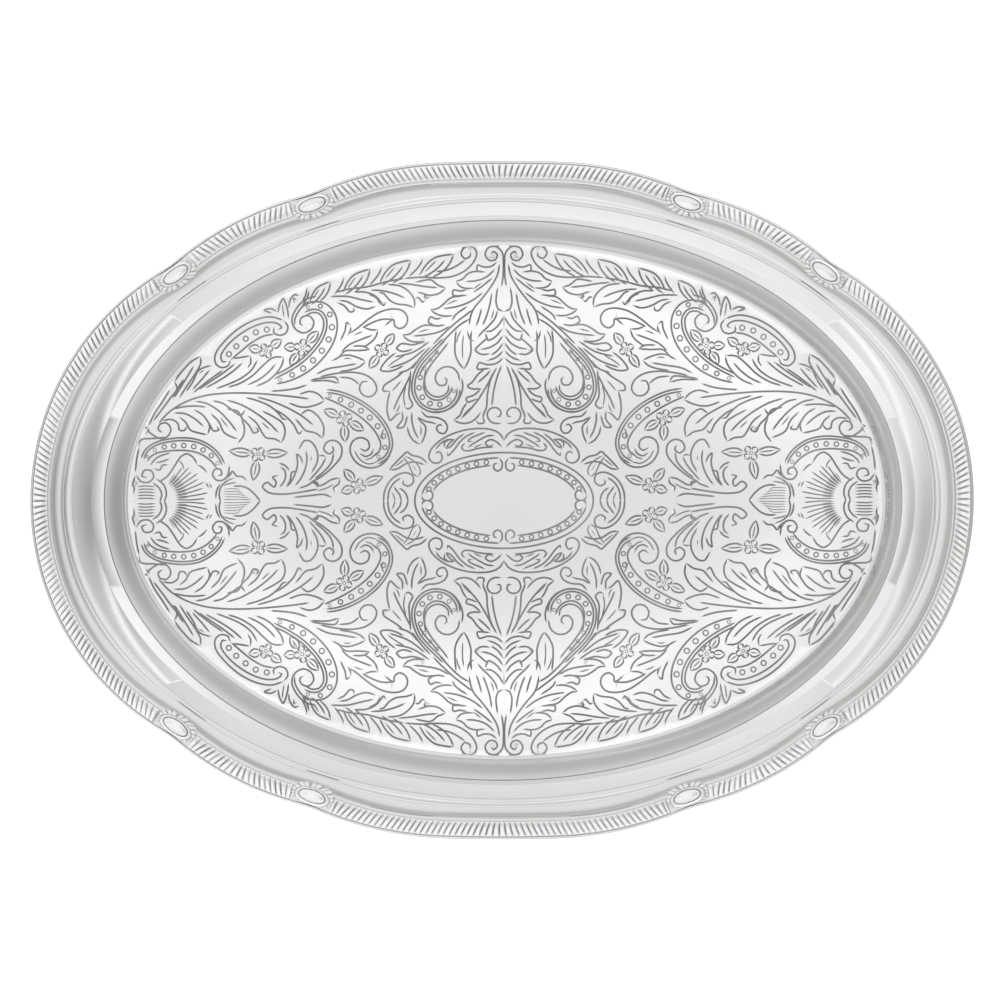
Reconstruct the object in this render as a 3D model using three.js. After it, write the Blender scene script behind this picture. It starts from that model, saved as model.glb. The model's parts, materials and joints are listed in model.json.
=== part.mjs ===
// Oval serving tray with a ridged border and leaf clasps, in millimetres.
// +X runs along the tray, +Z points up, and the origin is under the middle of the floor.
import * as THREE from 'three';

const degrees = THREE.MathUtils.degToRad;

// ---------------------------------------------------------------- driving dimensions

const LENGTH = 481; // over the rolled edge
const WIDTH = 343;
const SHEET = 0.9; // the pan's metal
const GAP = 0.3; // left between pieces that touch

// The edge in plan: lobes that meet in eight shallow necks, set on an oval of LENGTH by WIDTH.
const END_NECK = { turn: degrees(45), depth: 2.4 };
const SIDE_NECK = { turn: degrees(66), depth: 1.5 };
const NECK_BLEND_RADIUS = 60;
const SHOULDER_RADIUS = 180; // of each long side's lobe, next to its necks
const CROWN_RADIUS = 900; // of its nearly straight middle

// Bands of the rim, from the edge inwards.
const LIP_WIDTH = 1.9;
const BORDER_WIDTH = 7.6; // the seat that the border strips lie on
const BEAD_WIDTH = 1.7;
const COVE_WIDTH = 7.6;
const RIDGE_WIDTH = 2.2;
const BREAK_WIDTH = 6.9; // from the ridge to the line where the flange turns flatter
const FLANGE_WIDTH = 9;
const WALL_WIDTH = 12.6;
const FILLET_WIDTH = 2.4; // at the wall's foot
const STEP_WIDTH = 0.6; // the short steep step at the wall's top

// How much further in than on the sides each oval lies at the ends.
const END_EXTRA = { ridge: 1, break: 2.6, wall: 7.2, floor: 5.6 };

// Heights.
const WELL_DEPTH = 9.5; // from the floor to the top of the wall
const WALL_FOOT_SLOPE = degrees(46);
const WALL_HEAD_SLOPE = degrees(30); // just under the step
const BREAK_RISE = 0.3; // from the wall's top to the break in the flange
const FLANGE_RISE = 1.4;
const RIDGE_HEIGHT = 0.8;
const COVE_RISE = 4.2;
const COVE_SLOPE = degrees(60);
const BEAD_HEIGHT = 0.4;
const LIP_HEIGHT = 1; // above the seat
const LIP_DROP = 1.7; // below the seat
const HEM_WIDTH = 3; // how far the edge is turned back underneath

// The border strips and the clasps that cover their joints.
const STRIP_FOOT_HEIGHT = 1;
const STRIP_CROWN_HEIGHT = 3.2;
const CLASP_LENGTH = 21.4; // along the rim
const CLASP_OUTER_REACH = 4.7; // from its middle towards the edge
const CLASP_INNER_REACH = 7.2; // from its middle to its leaf tips
const CLASP_EDGE_THICKNESS = 0.9;
const CLASP_HEIGHT = 3.4;
const CLASP_LEAVES = 5;
const CLASP_NOTCH = 0.1; // depth between leaves, as a share of the reach

// How finely round shapes are cut.
const EDGE_STEP = 15;
const EDGE_TURN = degrees(5);
const FILLET_STEPS = 2;
const FACE_STEPS = 3;
const COVE_STEPS = 3;
const CLASP_STEPS = 30;

const CHROME = { color: 0xd9d9d6, metalness: 1, roughness: 0.08 };
const BORDER_CHROME = { color: 0xdcdcd9, metalness: 1, roughness: 0.16 };

// ---------------------------------------------------------------- the edge in plan

const halfLength = LENGTH / 2;
const halfWidth = WIDTH / 2;

function ovalPoint(turn, outwards = 0) {
  const point = new THREE.Vector2(halfLength * Math.cos(turn), halfWidth * Math.sin(turn));
  const normal = new THREE.Vector2(halfWidth * Math.cos(turn), halfLength * Math.sin(turn)).normalize();
  return point.addScaledVector(normal, outwards);
}

function circleThrough(p, q, r) {
  const [a, b] = [q.clone().sub(p), r.clone().sub(p)];
  const double = 2 * a.cross(b);
  const x = (b.y * a.lengthSq() - a.y * b.lengthSq()) / double;
  const y = (a.x * b.lengthSq() - b.x * a.lengthSq()) / double;
  return { center: new THREE.Vector2(p.x + x, p.y + y), radius: Math.hypot(x, y) };
}

// The point that lies at the two distances from p and q, on the side of the line pq that near is on.
function pointAtDistances(p, fromP, q, fromQ, near) {
  const along = q.clone().sub(p);
  const span = along.length();
  along.normalize();
  const across = new THREE.Vector2(-along.y, along.x);
  const x = (span ** 2 + fromP ** 2 - fromQ ** 2) / (2 * span);
  const y = Math.sqrt(fromP ** 2 - x ** 2);
  const side = Math.sign(across.dot(near.clone().sub(p)));
  return p.clone().addScaledVector(along, x).addScaledVector(across, side * y);
}

function direction(from, to) {
  return Math.atan2(to.y - from.y, to.x - from.x);
}

function arc(circle, start, end, clockwise = false) {
  const { center, radius } = circle;
  return new THREE.EllipseCurve(center.x, center.y, radius, radius, start, end, clockwise, 0);
}

// A hollow arc that runs smoothly from one lobe into the next, outside both of them.
function neckBlend(lobe, nextLobe, corner) {
  const outside = corner.clone().multiplyScalar(2);
  const reach = lobe.radius + NECK_BLEND_RADIUS;
  const nextReach = nextLobe.radius + NECK_BLEND_RADIUS;
  const center = pointAtDistances(lobe.center, reach, nextLobe.center, nextReach, outside);
  return { center, radius: NECK_BLEND_RADIUS };
}

// One quarter of the edge, from the middle of the +X end to the middle of the +Y side.
function makeQuarterEdge() {
  const endNeck = ovalPoint(END_NECK.turn, -END_NECK.depth);
  const sideNeck = ovalPoint(SIDE_NECK.turn, -SIDE_NECK.depth);
  const cornerTop = ovalPoint((END_NECK.turn + SIDE_NECK.turn) / 2);
  const mirroredNeck = new THREE.Vector2(endNeck.x, -endNeck.y);

  const end = circleThrough(mirroredNeck, new THREE.Vector2(halfLength, 0), endNeck);
  const corner = circleThrough(endNeck, cornerTop, sideNeck);
  const crown = { center: new THREE.Vector2(0, halfWidth - CROWN_RADIUS), radius: CROWN_RADIUS };
  const shoulder = { radius: SHOULDER_RADIUS };
  const inwards = CROWN_RADIUS - SHOULDER_RADIUS;
  const origin = new THREE.Vector2();
  shoulder.center = pointAtDistances(crown.center, inwards, sideNeck, SHOULDER_RADIUS, origin);

  const endBlend = neckBlend(end, corner, endNeck);
  const sideBlend = neckBlend(corner, shoulder, sideNeck);
  const crownEnd = direction(crown.center, shoulder.center);
  const quarter = new THREE.CurvePath();
  quarter.curves = [
    arc(end, 0, direction(end.center, endBlend.center)),
    arc(endBlend, direction(endBlend.center, end.center), direction(endBlend.center, corner.center), true),
    arc(corner, direction(corner.center, endBlend.center), direction(corner.center, sideBlend.center)),
    arc(sideBlend, direction(sideBlend.center, corner.center), direction(sideBlend.center, shoulder.center), true),
    arc(shoulder, direction(shoulder.center, sideBlend.center), crownEnd),
    arc(crown, crownEnd, Math.PI / 2),
  ];
  return quarter;
}

const quarterEdge = makeQuarterEdge();
const QUARTER = quarterEdge.getLength();

// The edge point at a distance along the rim, counted anticlockwise from the +X end, and its outward normal.
function edgeAt(along) {
  const quarter = Math.floor(along / QUARTER);
  const rest = along / QUARTER - quarter;
  const share = quarter % 2 === 0 ? rest : 1 - rest;
  const around = THREE.MathUtils.euclideanModulo(quarter, 4);
  const mirror = new THREE.Vector2(around === 1 || around === 2 ? -1 : 1, around >= 2 ? -1 : 1);
  const tangent = quarterEdge.getTangent(share);
  const point = quarterEdge.getPoint(share).multiply(mirror);
  const normal = new THREE.Vector2(tangent.y, -tangent.x).multiply(mirror);
  return { point, normal };
}

// Where the pan's cuts cross the edge, in distances along the rim: closer together where it bends more.
function makeStations() {
  const quarter = [];
  let start = 0;
  for (const curve of quarterEdge.curves) {
    const span = curve.getLength();
    const turn = span / curve.xRadius;
    const steps = Math.ceil(Math.max(span / EDGE_STEP, turn / EDGE_TURN));
    for (let step = 0; step < steps; step += 1) {
      quarter.push(start + (span * step) / steps);
    }
    start += span;
  }
  const back = quarter.slice(1).reverse().map((along) => 2 * QUARTER - along);
  const half = [...quarter, QUARTER, ...back];
  return [...half, ...half.map((along) => along + 2 * QUARTER)];
}

const stations = makeStations();

// ---------------------------------------------------------------- bands and heights

// Insets are distances inwards from the edge, as they are on the tray's short axis.
const beadInset = LIP_WIDTH + BORDER_WIDTH;
const coveInset = beadInset + BEAD_WIDTH;
const ridgeInset = coveInset + COVE_WIDTH;
const flangeInset = ridgeInset + RIDGE_WIDTH;
const breakInset = flangeInset + BREAK_WIDTH;
const wallInset = flangeInset + FLANGE_WIDTH;
const floorInset = wallInset + WALL_WIDTH;

const flangeLow = SHEET + WELL_DEPTH;
const flangeHigh = flangeLow + FLANGE_RISE;
const seatHeight = flangeHigh + COVE_RISE;
const beadTop = seatHeight + BEAD_HEIGHT;

function ellipseRing(inset, extra) {
  return { inset, x: halfLength - inset - extra, y: halfWidth - inset };
}

const rings = [
  ellipseRing(ridgeInset, END_EXTRA.ridge),
  ellipseRing(flangeInset, END_EXTRA.ridge),
  ellipseRing(breakInset, END_EXTRA.break),
  ellipseRing(wallInset, END_EXTRA.wall),
  ellipseRing(floorInset, END_EXTRA.floor),
  { inset: halfWidth, x: 0, y: 0 },
];

// Down to the cove the bands follow the lobed edge. From the ridge inwards they are plain ovals.
function planAt(along, inset) {
  const { point, normal } = edgeAt(along);
  if (inset <= coveInset) return point.addScaledVector(normal, -inset);
  const turn = Math.atan2(point.y / halfWidth, point.x / halfLength);
  let outer = { inset: coveInset, place: point.addScaledVector(normal, -coveInset) };
  for (const ring of rings) {
    const place = new THREE.Vector2(ring.x * Math.cos(turn), ring.y * Math.sin(turn));
    if (inset <= ring.inset) {
      const share = (inset - outer.inset) / (ring.inset - outer.inset);
      return outer.place.clone().lerp(place, share);
    }
    outer = { inset: ring.inset, place };
  }
  return outer.place;
}

// A hollow quarter-like curve that starts level and ends at the given slope.
function hollowCurve(inset, height, width, rise, slope, steps) {
  const points = [];
  for (let step = 0; step <= steps; step += 1) {
    const turn = (slope * step) / steps;
    const across = (width * Math.sin(turn)) / Math.sin(slope);
    const up = (rise * (1 - Math.cos(turn))) / (1 - Math.cos(slope));
    points.push(new THREE.Vector2(inset - across, height + up));
  }
  return points;
}

// The wall: a fillet from the floor, a slightly bulged face, and a steep step at its top.
function wallCurve() {
  const footSlope = Math.tan(WALL_FOOT_SLOPE);
  const filletRise = FILLET_WIDTH * Math.tan(WALL_FOOT_SLOPE / 2);
  const points = hollowCurve(floorInset, SHEET, FILLET_WIDTH, filletRise, WALL_FOOT_SLOPE, FILLET_STEPS);
  const width = WALL_WIDTH - FILLET_WIDTH - STEP_WIDTH;
  const easing = Math.tan(WALL_HEAD_SLOPE) - footSlope;
  for (let step = 1; step <= FACE_STEPS; step += 1) {
    const share = step / FACE_STEPS;
    const up = width * (footSlope * share + (easing * share ** 2) / 2);
    points.push(new THREE.Vector2(floorInset - FILLET_WIDTH - width * share, SHEET + filletRise + up));
  }
  points.push(new THREE.Vector2(wallInset, flangeLow));
  return points;
}

// Moves a run of section points to the sheet's other face.
function otherFace(points, thickness) {
  return points.map((point, i) => {
    const before = points[Math.max(i - 1, 0)];
    const after = points[Math.min(i + 1, points.length - 1)];
    const into = point === before ? after.clone().sub(point) : point.clone().sub(before);
    const outOf = point === after ? into : after.clone().sub(point);
    const normals = [into, outOf].map((run) => new THREE.Vector2(-run.y, run.x).normalize());
    const miter = normals[0].clone().add(normals[1]).divideScalar(1 + normals[0].dot(normals[1]));
    return point.clone().addScaledVector(miter, thickness);
  });
}

// ---------------------------------------------------------------- making pieces

function piece(name, geometry, finish) {
  const mesh = new THREE.Mesh(geometry, new THREE.MeshStandardMaterial(finish));
  mesh.name = name;
  return mesh;
}

// Gives every vertex a new place and drops what the old one had.
function reshape(geometry, place) {
  const position = geometry.getAttribute('position');
  const vertex = new THREE.Vector3();
  for (let i = 0; i < position.count; i += 1) {
    position.setXYZ(i, ...place(vertex.fromBufferAttribute(position, i), i));
  }
  geometry.deleteAttribute('normal');
  geometry.deleteAttribute('uv');
  geometry.computeVertexNormals();
  return geometry;
}

// The pan: floor, wall, flange, ridge, cove, seat and rolled edge, drawn as a section and carried round.
function makePan() {
  const wall = wallCurve();
  const ridge = [
    new THREE.Vector2(breakInset, flangeLow + BREAK_RISE),
    new THREE.Vector2(flangeInset, flangeHigh),
    new THREE.Vector2(flangeInset - RIDGE_WIDTH / 2, flangeHigh + RIDGE_HEIGHT),
  ];
  const cove = hollowCurve(ridgeInset, flangeHigh, COVE_WIDTH, COVE_RISE, COVE_SLOPE, COVE_STEPS);
  const formed = [...wall, ...ridge, ...cove];
  const hemTop = new THREE.Vector2(HEM_WIDTH, seatHeight);
  const underside = otherFace([...formed, hemTop], SHEET);
  const lipMiddle = LIP_WIDTH / 2;
  const lip = [
    new THREE.Vector2(HEM_WIDTH, seatHeight - LIP_DROP),
    new THREE.Vector2(lipMiddle, seatHeight - LIP_DROP),
    new THREE.Vector2(0, seatHeight - LIP_DROP / 2),
    new THREE.Vector2(0, seatHeight),
    new THREE.Vector2(lipMiddle * 0.6, seatHeight + LIP_HEIGHT),
    new THREE.Vector2(lipMiddle * 1.4, seatHeight + LIP_HEIGHT),
    new THREE.Vector2(LIP_WIDTH, seatHeight),
  ];
  const bead = [
    new THREE.Vector2(beadInset, seatHeight),
    new THREE.Vector2(beadInset + BEAD_WIDTH * 0.3, beadTop),
    new THREE.Vector2(coveInset - BEAD_WIDTH * 0.3, beadTop),
  ];
  const section = [
    new THREE.Vector2(halfWidth, 0),
    ...underside,
    ...lip,
    ...bead,
    ...formed.reverse(),
    new THREE.Vector2(halfWidth, SHEET),
  ];
  const outline = section.map((point) => new THREE.Vector2(halfWidth - point.x, point.y));
  const geometry = new THREE.LatheGeometry(outline, stations.length);
  return reshape(geometry, (vertex, i) => {
    const along = stations[Math.floor(i / section.length) % stations.length];
    const place = planAt(along, section[i % section.length].x);
    return [place.x, place.y, vertex.y];
  });
}

// A border strip's section: it lies on the seat between the lip and the bead.
function makeStripSection() {
  const outer = LIP_WIDTH + GAP;
  const inner = beadInset - GAP;
  const width = inner - outer;
  const base = seatHeight + GAP;
  return new THREE.Shape([
    new THREE.Vector2(outer, base),
    new THREE.Vector2(inner, base),
    new THREE.Vector2(inner, seatHeight + STRIP_FOOT_HEIGHT),
    new THREE.Vector2(outer + width * 0.75, seatHeight + STRIP_FOOT_HEIGHT * 1.3),
    new THREE.Vector2(outer + width * 0.6, seatHeight + STRIP_CROWN_HEIGHT * 0.85),
    new THREE.Vector2(outer + width * 0.35, seatHeight + STRIP_CROWN_HEIGHT),
    new THREE.Vector2(outer + width * 0.12, seatHeight + STRIP_CROWN_HEIGHT * 0.8),
    new THREE.Vector2(outer, seatHeight + STRIP_FOOT_HEIGHT * 1.3),
  ]);
}

const stripSection = makeStripSection();

// A strip between two clasps, cut at the same stations as the pan under it.
function makeStrip(fromClasp, toClasp) {
  const start = fromClasp + CLASP_LENGTH / 2 + GAP;
  const end = toClasp - CLASP_LENGTH / 2 - GAP;
  const lap = 4 * QUARTER;
  const laps = [...stations, ...stations.map((along) => along + lap)];
  const cuts = [start, ...laps.filter((along) => along > start + 1 && along < end - 1), end];
  const steps = cuts.length - 1;
  const geometry = new THREE.ExtrudeGeometry(stripSection, { depth: 1, steps, bevelEnabled: false });
  return reshape(geometry, (vertex) => {
    const place = planAt(cuts[Math.round(vertex.z * steps)], vertex.x);
    return [place.x, place.y, vertex.y];
  });
}

// How far a clasp reaches in the direction of a turn about its middle, as a share of its reach:
// a rounded oblong, notched between the leaves on its inner side.
function claspSpread(turn) {
  const squareness = 2.6;
  const [across, along] = [Math.abs(Math.sin(turn)), Math.abs(Math.cos(turn))];
  const oblong = (across ** squareness + along ** squareness) ** (-1 / squareness);
  const innerSide = Math.max(Math.sin(turn), 0);
  const between = 1 - Math.abs(Math.sin(CLASP_LEAVES * turn));
  return oblong * (1 - CLASP_NOTCH * between * innerSide);
}

// A clasp: a domed leaf mount with a flat back, over the joint between two strips.
function makeClasp(middle) {
  const middleInset = LIP_WIDTH + GAP + CLASP_OUTER_REACH;
  const base = beadTop + GAP;
  const dome = [
    new THREE.Vector2(0, 0),
    new THREE.Vector2(1, 0),
    new THREE.Vector2(1, CLASP_EDGE_THICKNESS),
    new THREE.Vector2(0.75, CLASP_HEIGHT * 0.6),
    new THREE.Vector2(0.45, CLASP_HEIGHT * 0.9),
    new THREE.Vector2(0, CLASP_HEIGHT),
  ];
  const geometry = new THREE.LatheGeometry(dome, CLASP_STEPS);
  return reshape(geometry, (vertex) => {
    const spread = claspSpread(Math.atan2(vertex.x, vertex.z));
    const reach = vertex.x > 0 ? CLASP_INNER_REACH : CLASP_OUTER_REACH;
    const along = middle + (vertex.z * spread * CLASP_LENGTH) / 2;
    const place = planAt(along, middleInset + vertex.x * spread * reach);
    return [place.x, place.y, base + vertex.y];
  });
}

// ---------------------------------------------------------------- the tray

function claspPlaces() {
  const ends = [0];
  for (const curve of quarterEdge.curves) {
    ends.push(ends[ends.length - 1] + curve.getLength());
  }
  const endClasp = (ends[1] + ends[2]) / 2;
  const sideClasp = (ends[3] + ends[4]) / 2;
  const quarter = [endClasp, sideClasp];
  const half = [...quarter, 2 * QUARTER - sideClasp, 2 * QUARTER - endClasp];
  return [...half, ...half.map((along) => along + 2 * QUARTER)];
}

const claspNames = [
  'right_back', 'back_right', 'back_left', 'left_back',
  'left_front', 'front_left', 'front_right', 'right_front',
];
const stripNames = [
  'corner_back_right', 'back', 'corner_back_left', 'left',
  'corner_front_left', 'front', 'corner_front_right', 'right',
];

const tray = new THREE.Group();
tray.add(piece('tray_pan', makePan(), CHROME));
const places = claspPlaces();
places.forEach((place, i) => {
  const next = i + 1 < places.length ? places[i + 1] : places[0] + 4 * QUARTER;
  tray.add(piece(`clasp_${claspNames[i]}`, makeClasp(place), BORDER_CHROME));
  tray.add(piece(`border_${stripNames[i]}`, makeStrip(place, next), BORDER_CHROME));
});

export default tray;
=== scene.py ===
"""Oval serving tray in plated metal: an engraved pan, eight gadroon strips and eight leaf clasps.

The script is in metres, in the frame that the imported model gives: +X along the tray, +Z up, and
the origin under the middle of the floor. Sizes that a maker would measure are in millimetres.
"""

import json
import logging
import math
from collections.abc import Callable, Sequence
from dataclasses import dataclass, field
from enum import Enum

import bpy
import numpy as np
from mathutils import Matrix, Vector, geometry

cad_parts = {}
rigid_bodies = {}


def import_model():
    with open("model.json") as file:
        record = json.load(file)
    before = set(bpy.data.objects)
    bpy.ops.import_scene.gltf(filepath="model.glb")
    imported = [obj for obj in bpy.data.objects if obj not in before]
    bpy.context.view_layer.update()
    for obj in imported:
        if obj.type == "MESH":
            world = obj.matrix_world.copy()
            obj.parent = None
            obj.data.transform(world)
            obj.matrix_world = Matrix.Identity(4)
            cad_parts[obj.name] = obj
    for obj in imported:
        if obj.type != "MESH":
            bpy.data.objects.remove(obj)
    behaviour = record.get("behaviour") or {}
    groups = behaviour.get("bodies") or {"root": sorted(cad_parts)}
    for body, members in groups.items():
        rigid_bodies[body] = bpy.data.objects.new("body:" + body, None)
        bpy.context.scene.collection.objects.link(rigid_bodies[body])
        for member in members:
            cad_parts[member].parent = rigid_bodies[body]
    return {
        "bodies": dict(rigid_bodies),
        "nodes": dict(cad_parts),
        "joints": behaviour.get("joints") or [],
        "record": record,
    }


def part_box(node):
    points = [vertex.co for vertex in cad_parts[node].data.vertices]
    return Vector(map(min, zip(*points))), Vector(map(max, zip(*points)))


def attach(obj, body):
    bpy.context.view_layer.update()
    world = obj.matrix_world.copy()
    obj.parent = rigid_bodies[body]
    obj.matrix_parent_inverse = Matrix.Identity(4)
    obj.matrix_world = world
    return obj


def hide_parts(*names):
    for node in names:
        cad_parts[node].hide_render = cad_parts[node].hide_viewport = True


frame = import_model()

log = logging.getLogger("serving_tray")

MM = 0.001
BODY = "root"
MERGE_DISTANCE = 0.002 * MM
LINE_STEP = 0.25
LEAST_STEP = 0.3

Point = tuple[float, float]
Node = bpy.types.Node
Place = tuple[float, float, float]


# ------------------------------------------------------------------------------- shader maths


class Wire:
    """A shader value that Python operators can work on; each operator adds its Math node."""

    def __init__(self, tree: bpy.types.NodeTree, socket: bpy.types.NodeSocket) -> None:
        """Wraps an output socket of a node tree."""
        self.tree = tree
        self.socket = socket

    def _math(self, operation: str, first: "Wire | float", second: "Wire | float") -> "Wire":
        """Adds one Math node.

        Args:
            operation: The node's operation.
            first: Its first value.
            second: Its second value.

        Returns:
            The node's result.
        """
        return add_node(self.tree, "ShaderNodeMath", {"operation": operation}, {0: first, 1: second})

    def __add__(self, other: "Wire | float") -> "Wire":
        """Sum."""
        return self._math("ADD", self, other)

    def __sub__(self, other: "Wire | float") -> "Wire":
        """Difference."""
        return self._math("SUBTRACT", self, other)

    def __rsub__(self, other: "Wire | float") -> "Wire":
        """Difference from a number."""
        return self._math("SUBTRACT", other, self)

    def __mul__(self, other: "Wire | float") -> "Wire":
        """Product."""
        return self._math("MULTIPLY", self, other)

    __radd__ = __add__
    __rmul__ = __mul__


def add_node(tree: bpy.types.NodeTree, kind: str, settings: dict, values: dict, out: int | str = 0) -> Wire:
    """Adds a node, sets it up, and feeds its sockets.

    Args:
        tree: The node tree it goes in.
        kind: The node's type.
        settings: The node's own properties; a ramp's "stops" are (position, colour) pairs.
        values: A value or a Wire for each input, by name or number.
        out: The output that is wanted.

    Returns:
        That output.
    """
    node = tree.nodes.new(kind)
    for name, value in settings.items():
        if name == "stops":
            set_stops(node.color_ramp, value)
        else:
            setattr(node, name, value)
    for name, value in values.items():
        if isinstance(value, Wire):
            tree.links.new(value.socket, node.inputs[name])
        else:
            node.inputs[name].default_value = value
    return Wire(tree, node.outputs[out])


def set_stops(ramp: bpy.types.ColorRamp, stops: Sequence[tuple[float, Sequence[float]]]) -> None:
    """Gives a colour ramp its stops.

    Args:
        ramp: The ramp.
        stops: (position, colour) pairs in order.
    """
    while len(ramp.elements) < len(stops):
        ramp.elements.new(1.0)
    for element, (position, color) in zip(ramp.elements, stops):
        element.position = position
        element.color = (*color, 1.0)


def blend_colors(tree: bpy.types.NodeTree, share: Wire, first: Place, second: Place) -> Wire:
    """Blends two colours.

    Args:
        tree: The node tree.
        share: How much of the second there is.
        first: The first colour.
        second: The second.

    Returns:
        The blend.
    """
    values = {"Factor": share, 6: (*first, 1.0), 7: (*second, 1.0)}
    return add_node(tree, "ShaderNodeMix", {"data_type": "RGBA"}, values, 2)


# ------------------------------------------------------------------------------------ finishes


def new_material(name: str) -> tuple[bpy.types.Material, bpy.types.NodeTree, Node]:
    """Makes a material with a cleared Principled shader.

    Args:
        name: The material's name.

    Returns:
        The material, its node tree and its Principled node.
    """
    material = bpy.data.materials.new(name)
    material.use_nodes = True
    tree = material.node_tree
    return material, tree, tree.nodes["Principled BSDF"]


@dataclass(frozen=True)
class PlateFinish:
    """Polished plated metal: brushed streaks, faint haze from handling, and fine grain."""

    name: str
    tint: Place = (0.93, 0.93, 0.92)
    haze_tint: Place = (0.90, 0.90, 0.885)
    roughness: float = 0.12
    haze: float = 0.05
    metallic: float = 1.0
    brush: float = 0.03
    brush_stretch: Place = (9.0, 260.0, 60.0)
    haze_scale: float = 14.0
    grain_depth: float = 0.004 * MM
    grain_scale: float = 900.0
    haze_range: tuple[float, float] = (0.42, 0.72)

    def material(self) -> bpy.types.Material:
        """Builds the finish.

        Returns:
            A material that reads Object coordinates.
        """
        material, tree, shader = new_material(self.name)
        place = add_node(tree, "ShaderNodeTexCoord", {}, {}, "Object")
        along = add_node(tree, "ShaderNodeMapping", {}, {"Vector": place, "Scale": self.brush_stretch})
        streaks = add_node(tree, "ShaderNodeTexNoise", {}, {"Vector": along, "Scale": 1.0, "Detail": 4.0})
        clouds = add_node(
            tree, "ShaderNodeTexNoise", {}, {"Vector": place, "Scale": self.haze_scale, "Detail": 5.0}
        )
        stops = [(self.haze_range[0], (0, 0, 0)), (self.haze_range[1], (1, 1, 1))]
        cloudy = add_node(tree, "ShaderNodeValToRGB", {"stops": stops}, {"Fac": clouds})
        color = blend_colors(tree, cloudy, self.tint, self.haze_tint)
        roughness = self.roughness + cloudy * self.haze + (streaks - 0.5) * self.brush
        grain = add_node(tree, "ShaderNodeTexNoise", {}, {"Vector": place, "Scale": self.grain_scale})
        height = {"Height": grain + streaks, "Strength": 1.0, "Distance": self.grain_depth}
        relief = add_node(tree, "ShaderNodeBump", {}, height)
        shader.inputs["Metallic"].default_value = self.metallic
        tree.links.new(color.socket, shader.inputs["Base Color"])
        tree.links.new(roughness.socket, shader.inputs["Roughness"])
        tree.links.new(relief.socket, shader.inputs["Normal"])
        return material


@dataclass(frozen=True)
class CutFinishWithPaintedShade:
    """The satin of cuts and cast hollows, with painted shade: its darker colour stands for shade in the
    recess, and a little polish is left in it at random.
    """

    name: str = "engraved_cut_painted_shade"
    # The two colours below are darkened: painted shade in the recess, mixed at random by the wear noise.
    deep: Place = (0.28, 0.28, 0.275)
    worn_shade: Place = (0.48, 0.48, 0.475)
    roughness: float = 0.42
    wear_scale: float = 35.0
    wear_range: tuple[float, float] = (0.35, 0.7)
    wear_gloss: float = 0.15

    def material(self) -> bpy.types.Material:
        """Builds the finish.

        Returns:
            A material that reads Object coordinates.
        """
        material, tree, shader = new_material(self.name)
        place = add_node(tree, "ShaderNodeTexCoord", {}, {}, "Object")
        wear = add_node(
            tree, "ShaderNodeTexNoise", {}, {"Vector": place, "Scale": self.wear_scale, "Detail": 3.0}
        )
        stops = list(zip(self.wear_range, (self.deep, self.worn_shade)))
        color = add_node(tree, "ShaderNodeValToRGB", {"stops": stops}, {"Fac": wear})
        roughness = self.roughness - (wear - 0.5) * self.wear_gloss
        shader.inputs["Metallic"].default_value = 1.0
        tree.links.new(color.socket, shader.inputs["Base Color"])
        tree.links.new(roughness.socket, shader.inputs["Roughness"])
        return material


@dataclass(frozen=True)
class TableFinish:
    """The plain pale surface that the tray stands on."""

    name: str = "pale_table"
    color: Place = (0.96, 0.96, 0.96)
    fleck: Place = (0.93, 0.93, 0.93)
    glow: float = 0.35
    roughness: float = 0.9
    fleck_scale: float = 2.0

    def material(self) -> bpy.types.Material:
        """Builds the finish.

        Returns:
            A matt material with a faint unevenness.
        """
        material, tree, shader = new_material(self.name)
        place = add_node(tree, "ShaderNodeTexCoord", {}, {}, "Object")
        uneven = add_node(tree, "ShaderNodeTexNoise", {}, {"Vector": place, "Scale": self.fleck_scale})
        color = blend_colors(tree, uneven, self.color, self.fleck)
        shader.inputs["Roughness"].default_value = self.roughness
        shader.inputs["Emission Strength"].default_value = self.glow
        tree.links.new(color.socket, shader.inputs["Base Color"])
        tree.links.new(color.socket, shader.inputs["Emission Color"])
        return material


# ------------------------------------------------------------------------- modelling by hand


def start_clean() -> None:
    """Leaves nothing selected, so that an operator acts only on what comes next."""
    bpy.ops.object.select_all(action="DESELECT")


def edit(piece: bpy.types.Object) -> None:
    """Selects a piece alone and opens it in edit mode with everything in it selected."""
    start_clean()
    piece.select_set(True)
    bpy.context.view_layer.objects.active = piece
    bpy.ops.object.mode_set(mode="EDIT")
    bpy.ops.mesh.select_all(action="SELECT")


def leave() -> None:
    """Closes edit mode."""
    bpy.ops.object.mode_set(mode="OBJECT")


def new_grid(name: str, columns: int, rows: int, place: Callable[[float, float], Place]) -> bpy.types.Object:
    """Adds a grid primitive and bends it into shape.

    Args:
        name: The piece's name.
        columns: Faces along the grid.
        rows: Faces across it.
        place: Gives a place in metres for a column and a row number.

    Returns:
        The bent grid.
    """
    start_clean()
    bpy.ops.mesh.primitive_grid_add(x_subdivisions=columns, y_subdivisions=rows, size=1)
    grid = bpy.context.object
    grid.name = grid.data.name = name
    for vertex in grid.data.vertices:
        column = round((vertex.co.x + 0.5) * columns)
        row = round((vertex.co.y + 0.5) * rows)
        vertex.co = place(column, row)
    return grid


def close_up(piece: bpy.types.Object, fill: bool) -> None:
    """Merges doubles, closes open ends and turns every face outwards.

    Args:
        piece: The piece.
        fill: Whether its open ends get a face.
    """
    edit(piece)
    bpy.ops.mesh.remove_doubles(threshold=MERGE_DISTANCE)
    bpy.ops.mesh.dissolve_degenerate(threshold=MERGE_DISTANCE)
    if fill:
        bpy.ops.mesh.fill_holes(sides=0)
        bpy.ops.mesh.select_all(action="SELECT")
    bpy.ops.mesh.normals_make_consistent(inside=False)
    leave()


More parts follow.
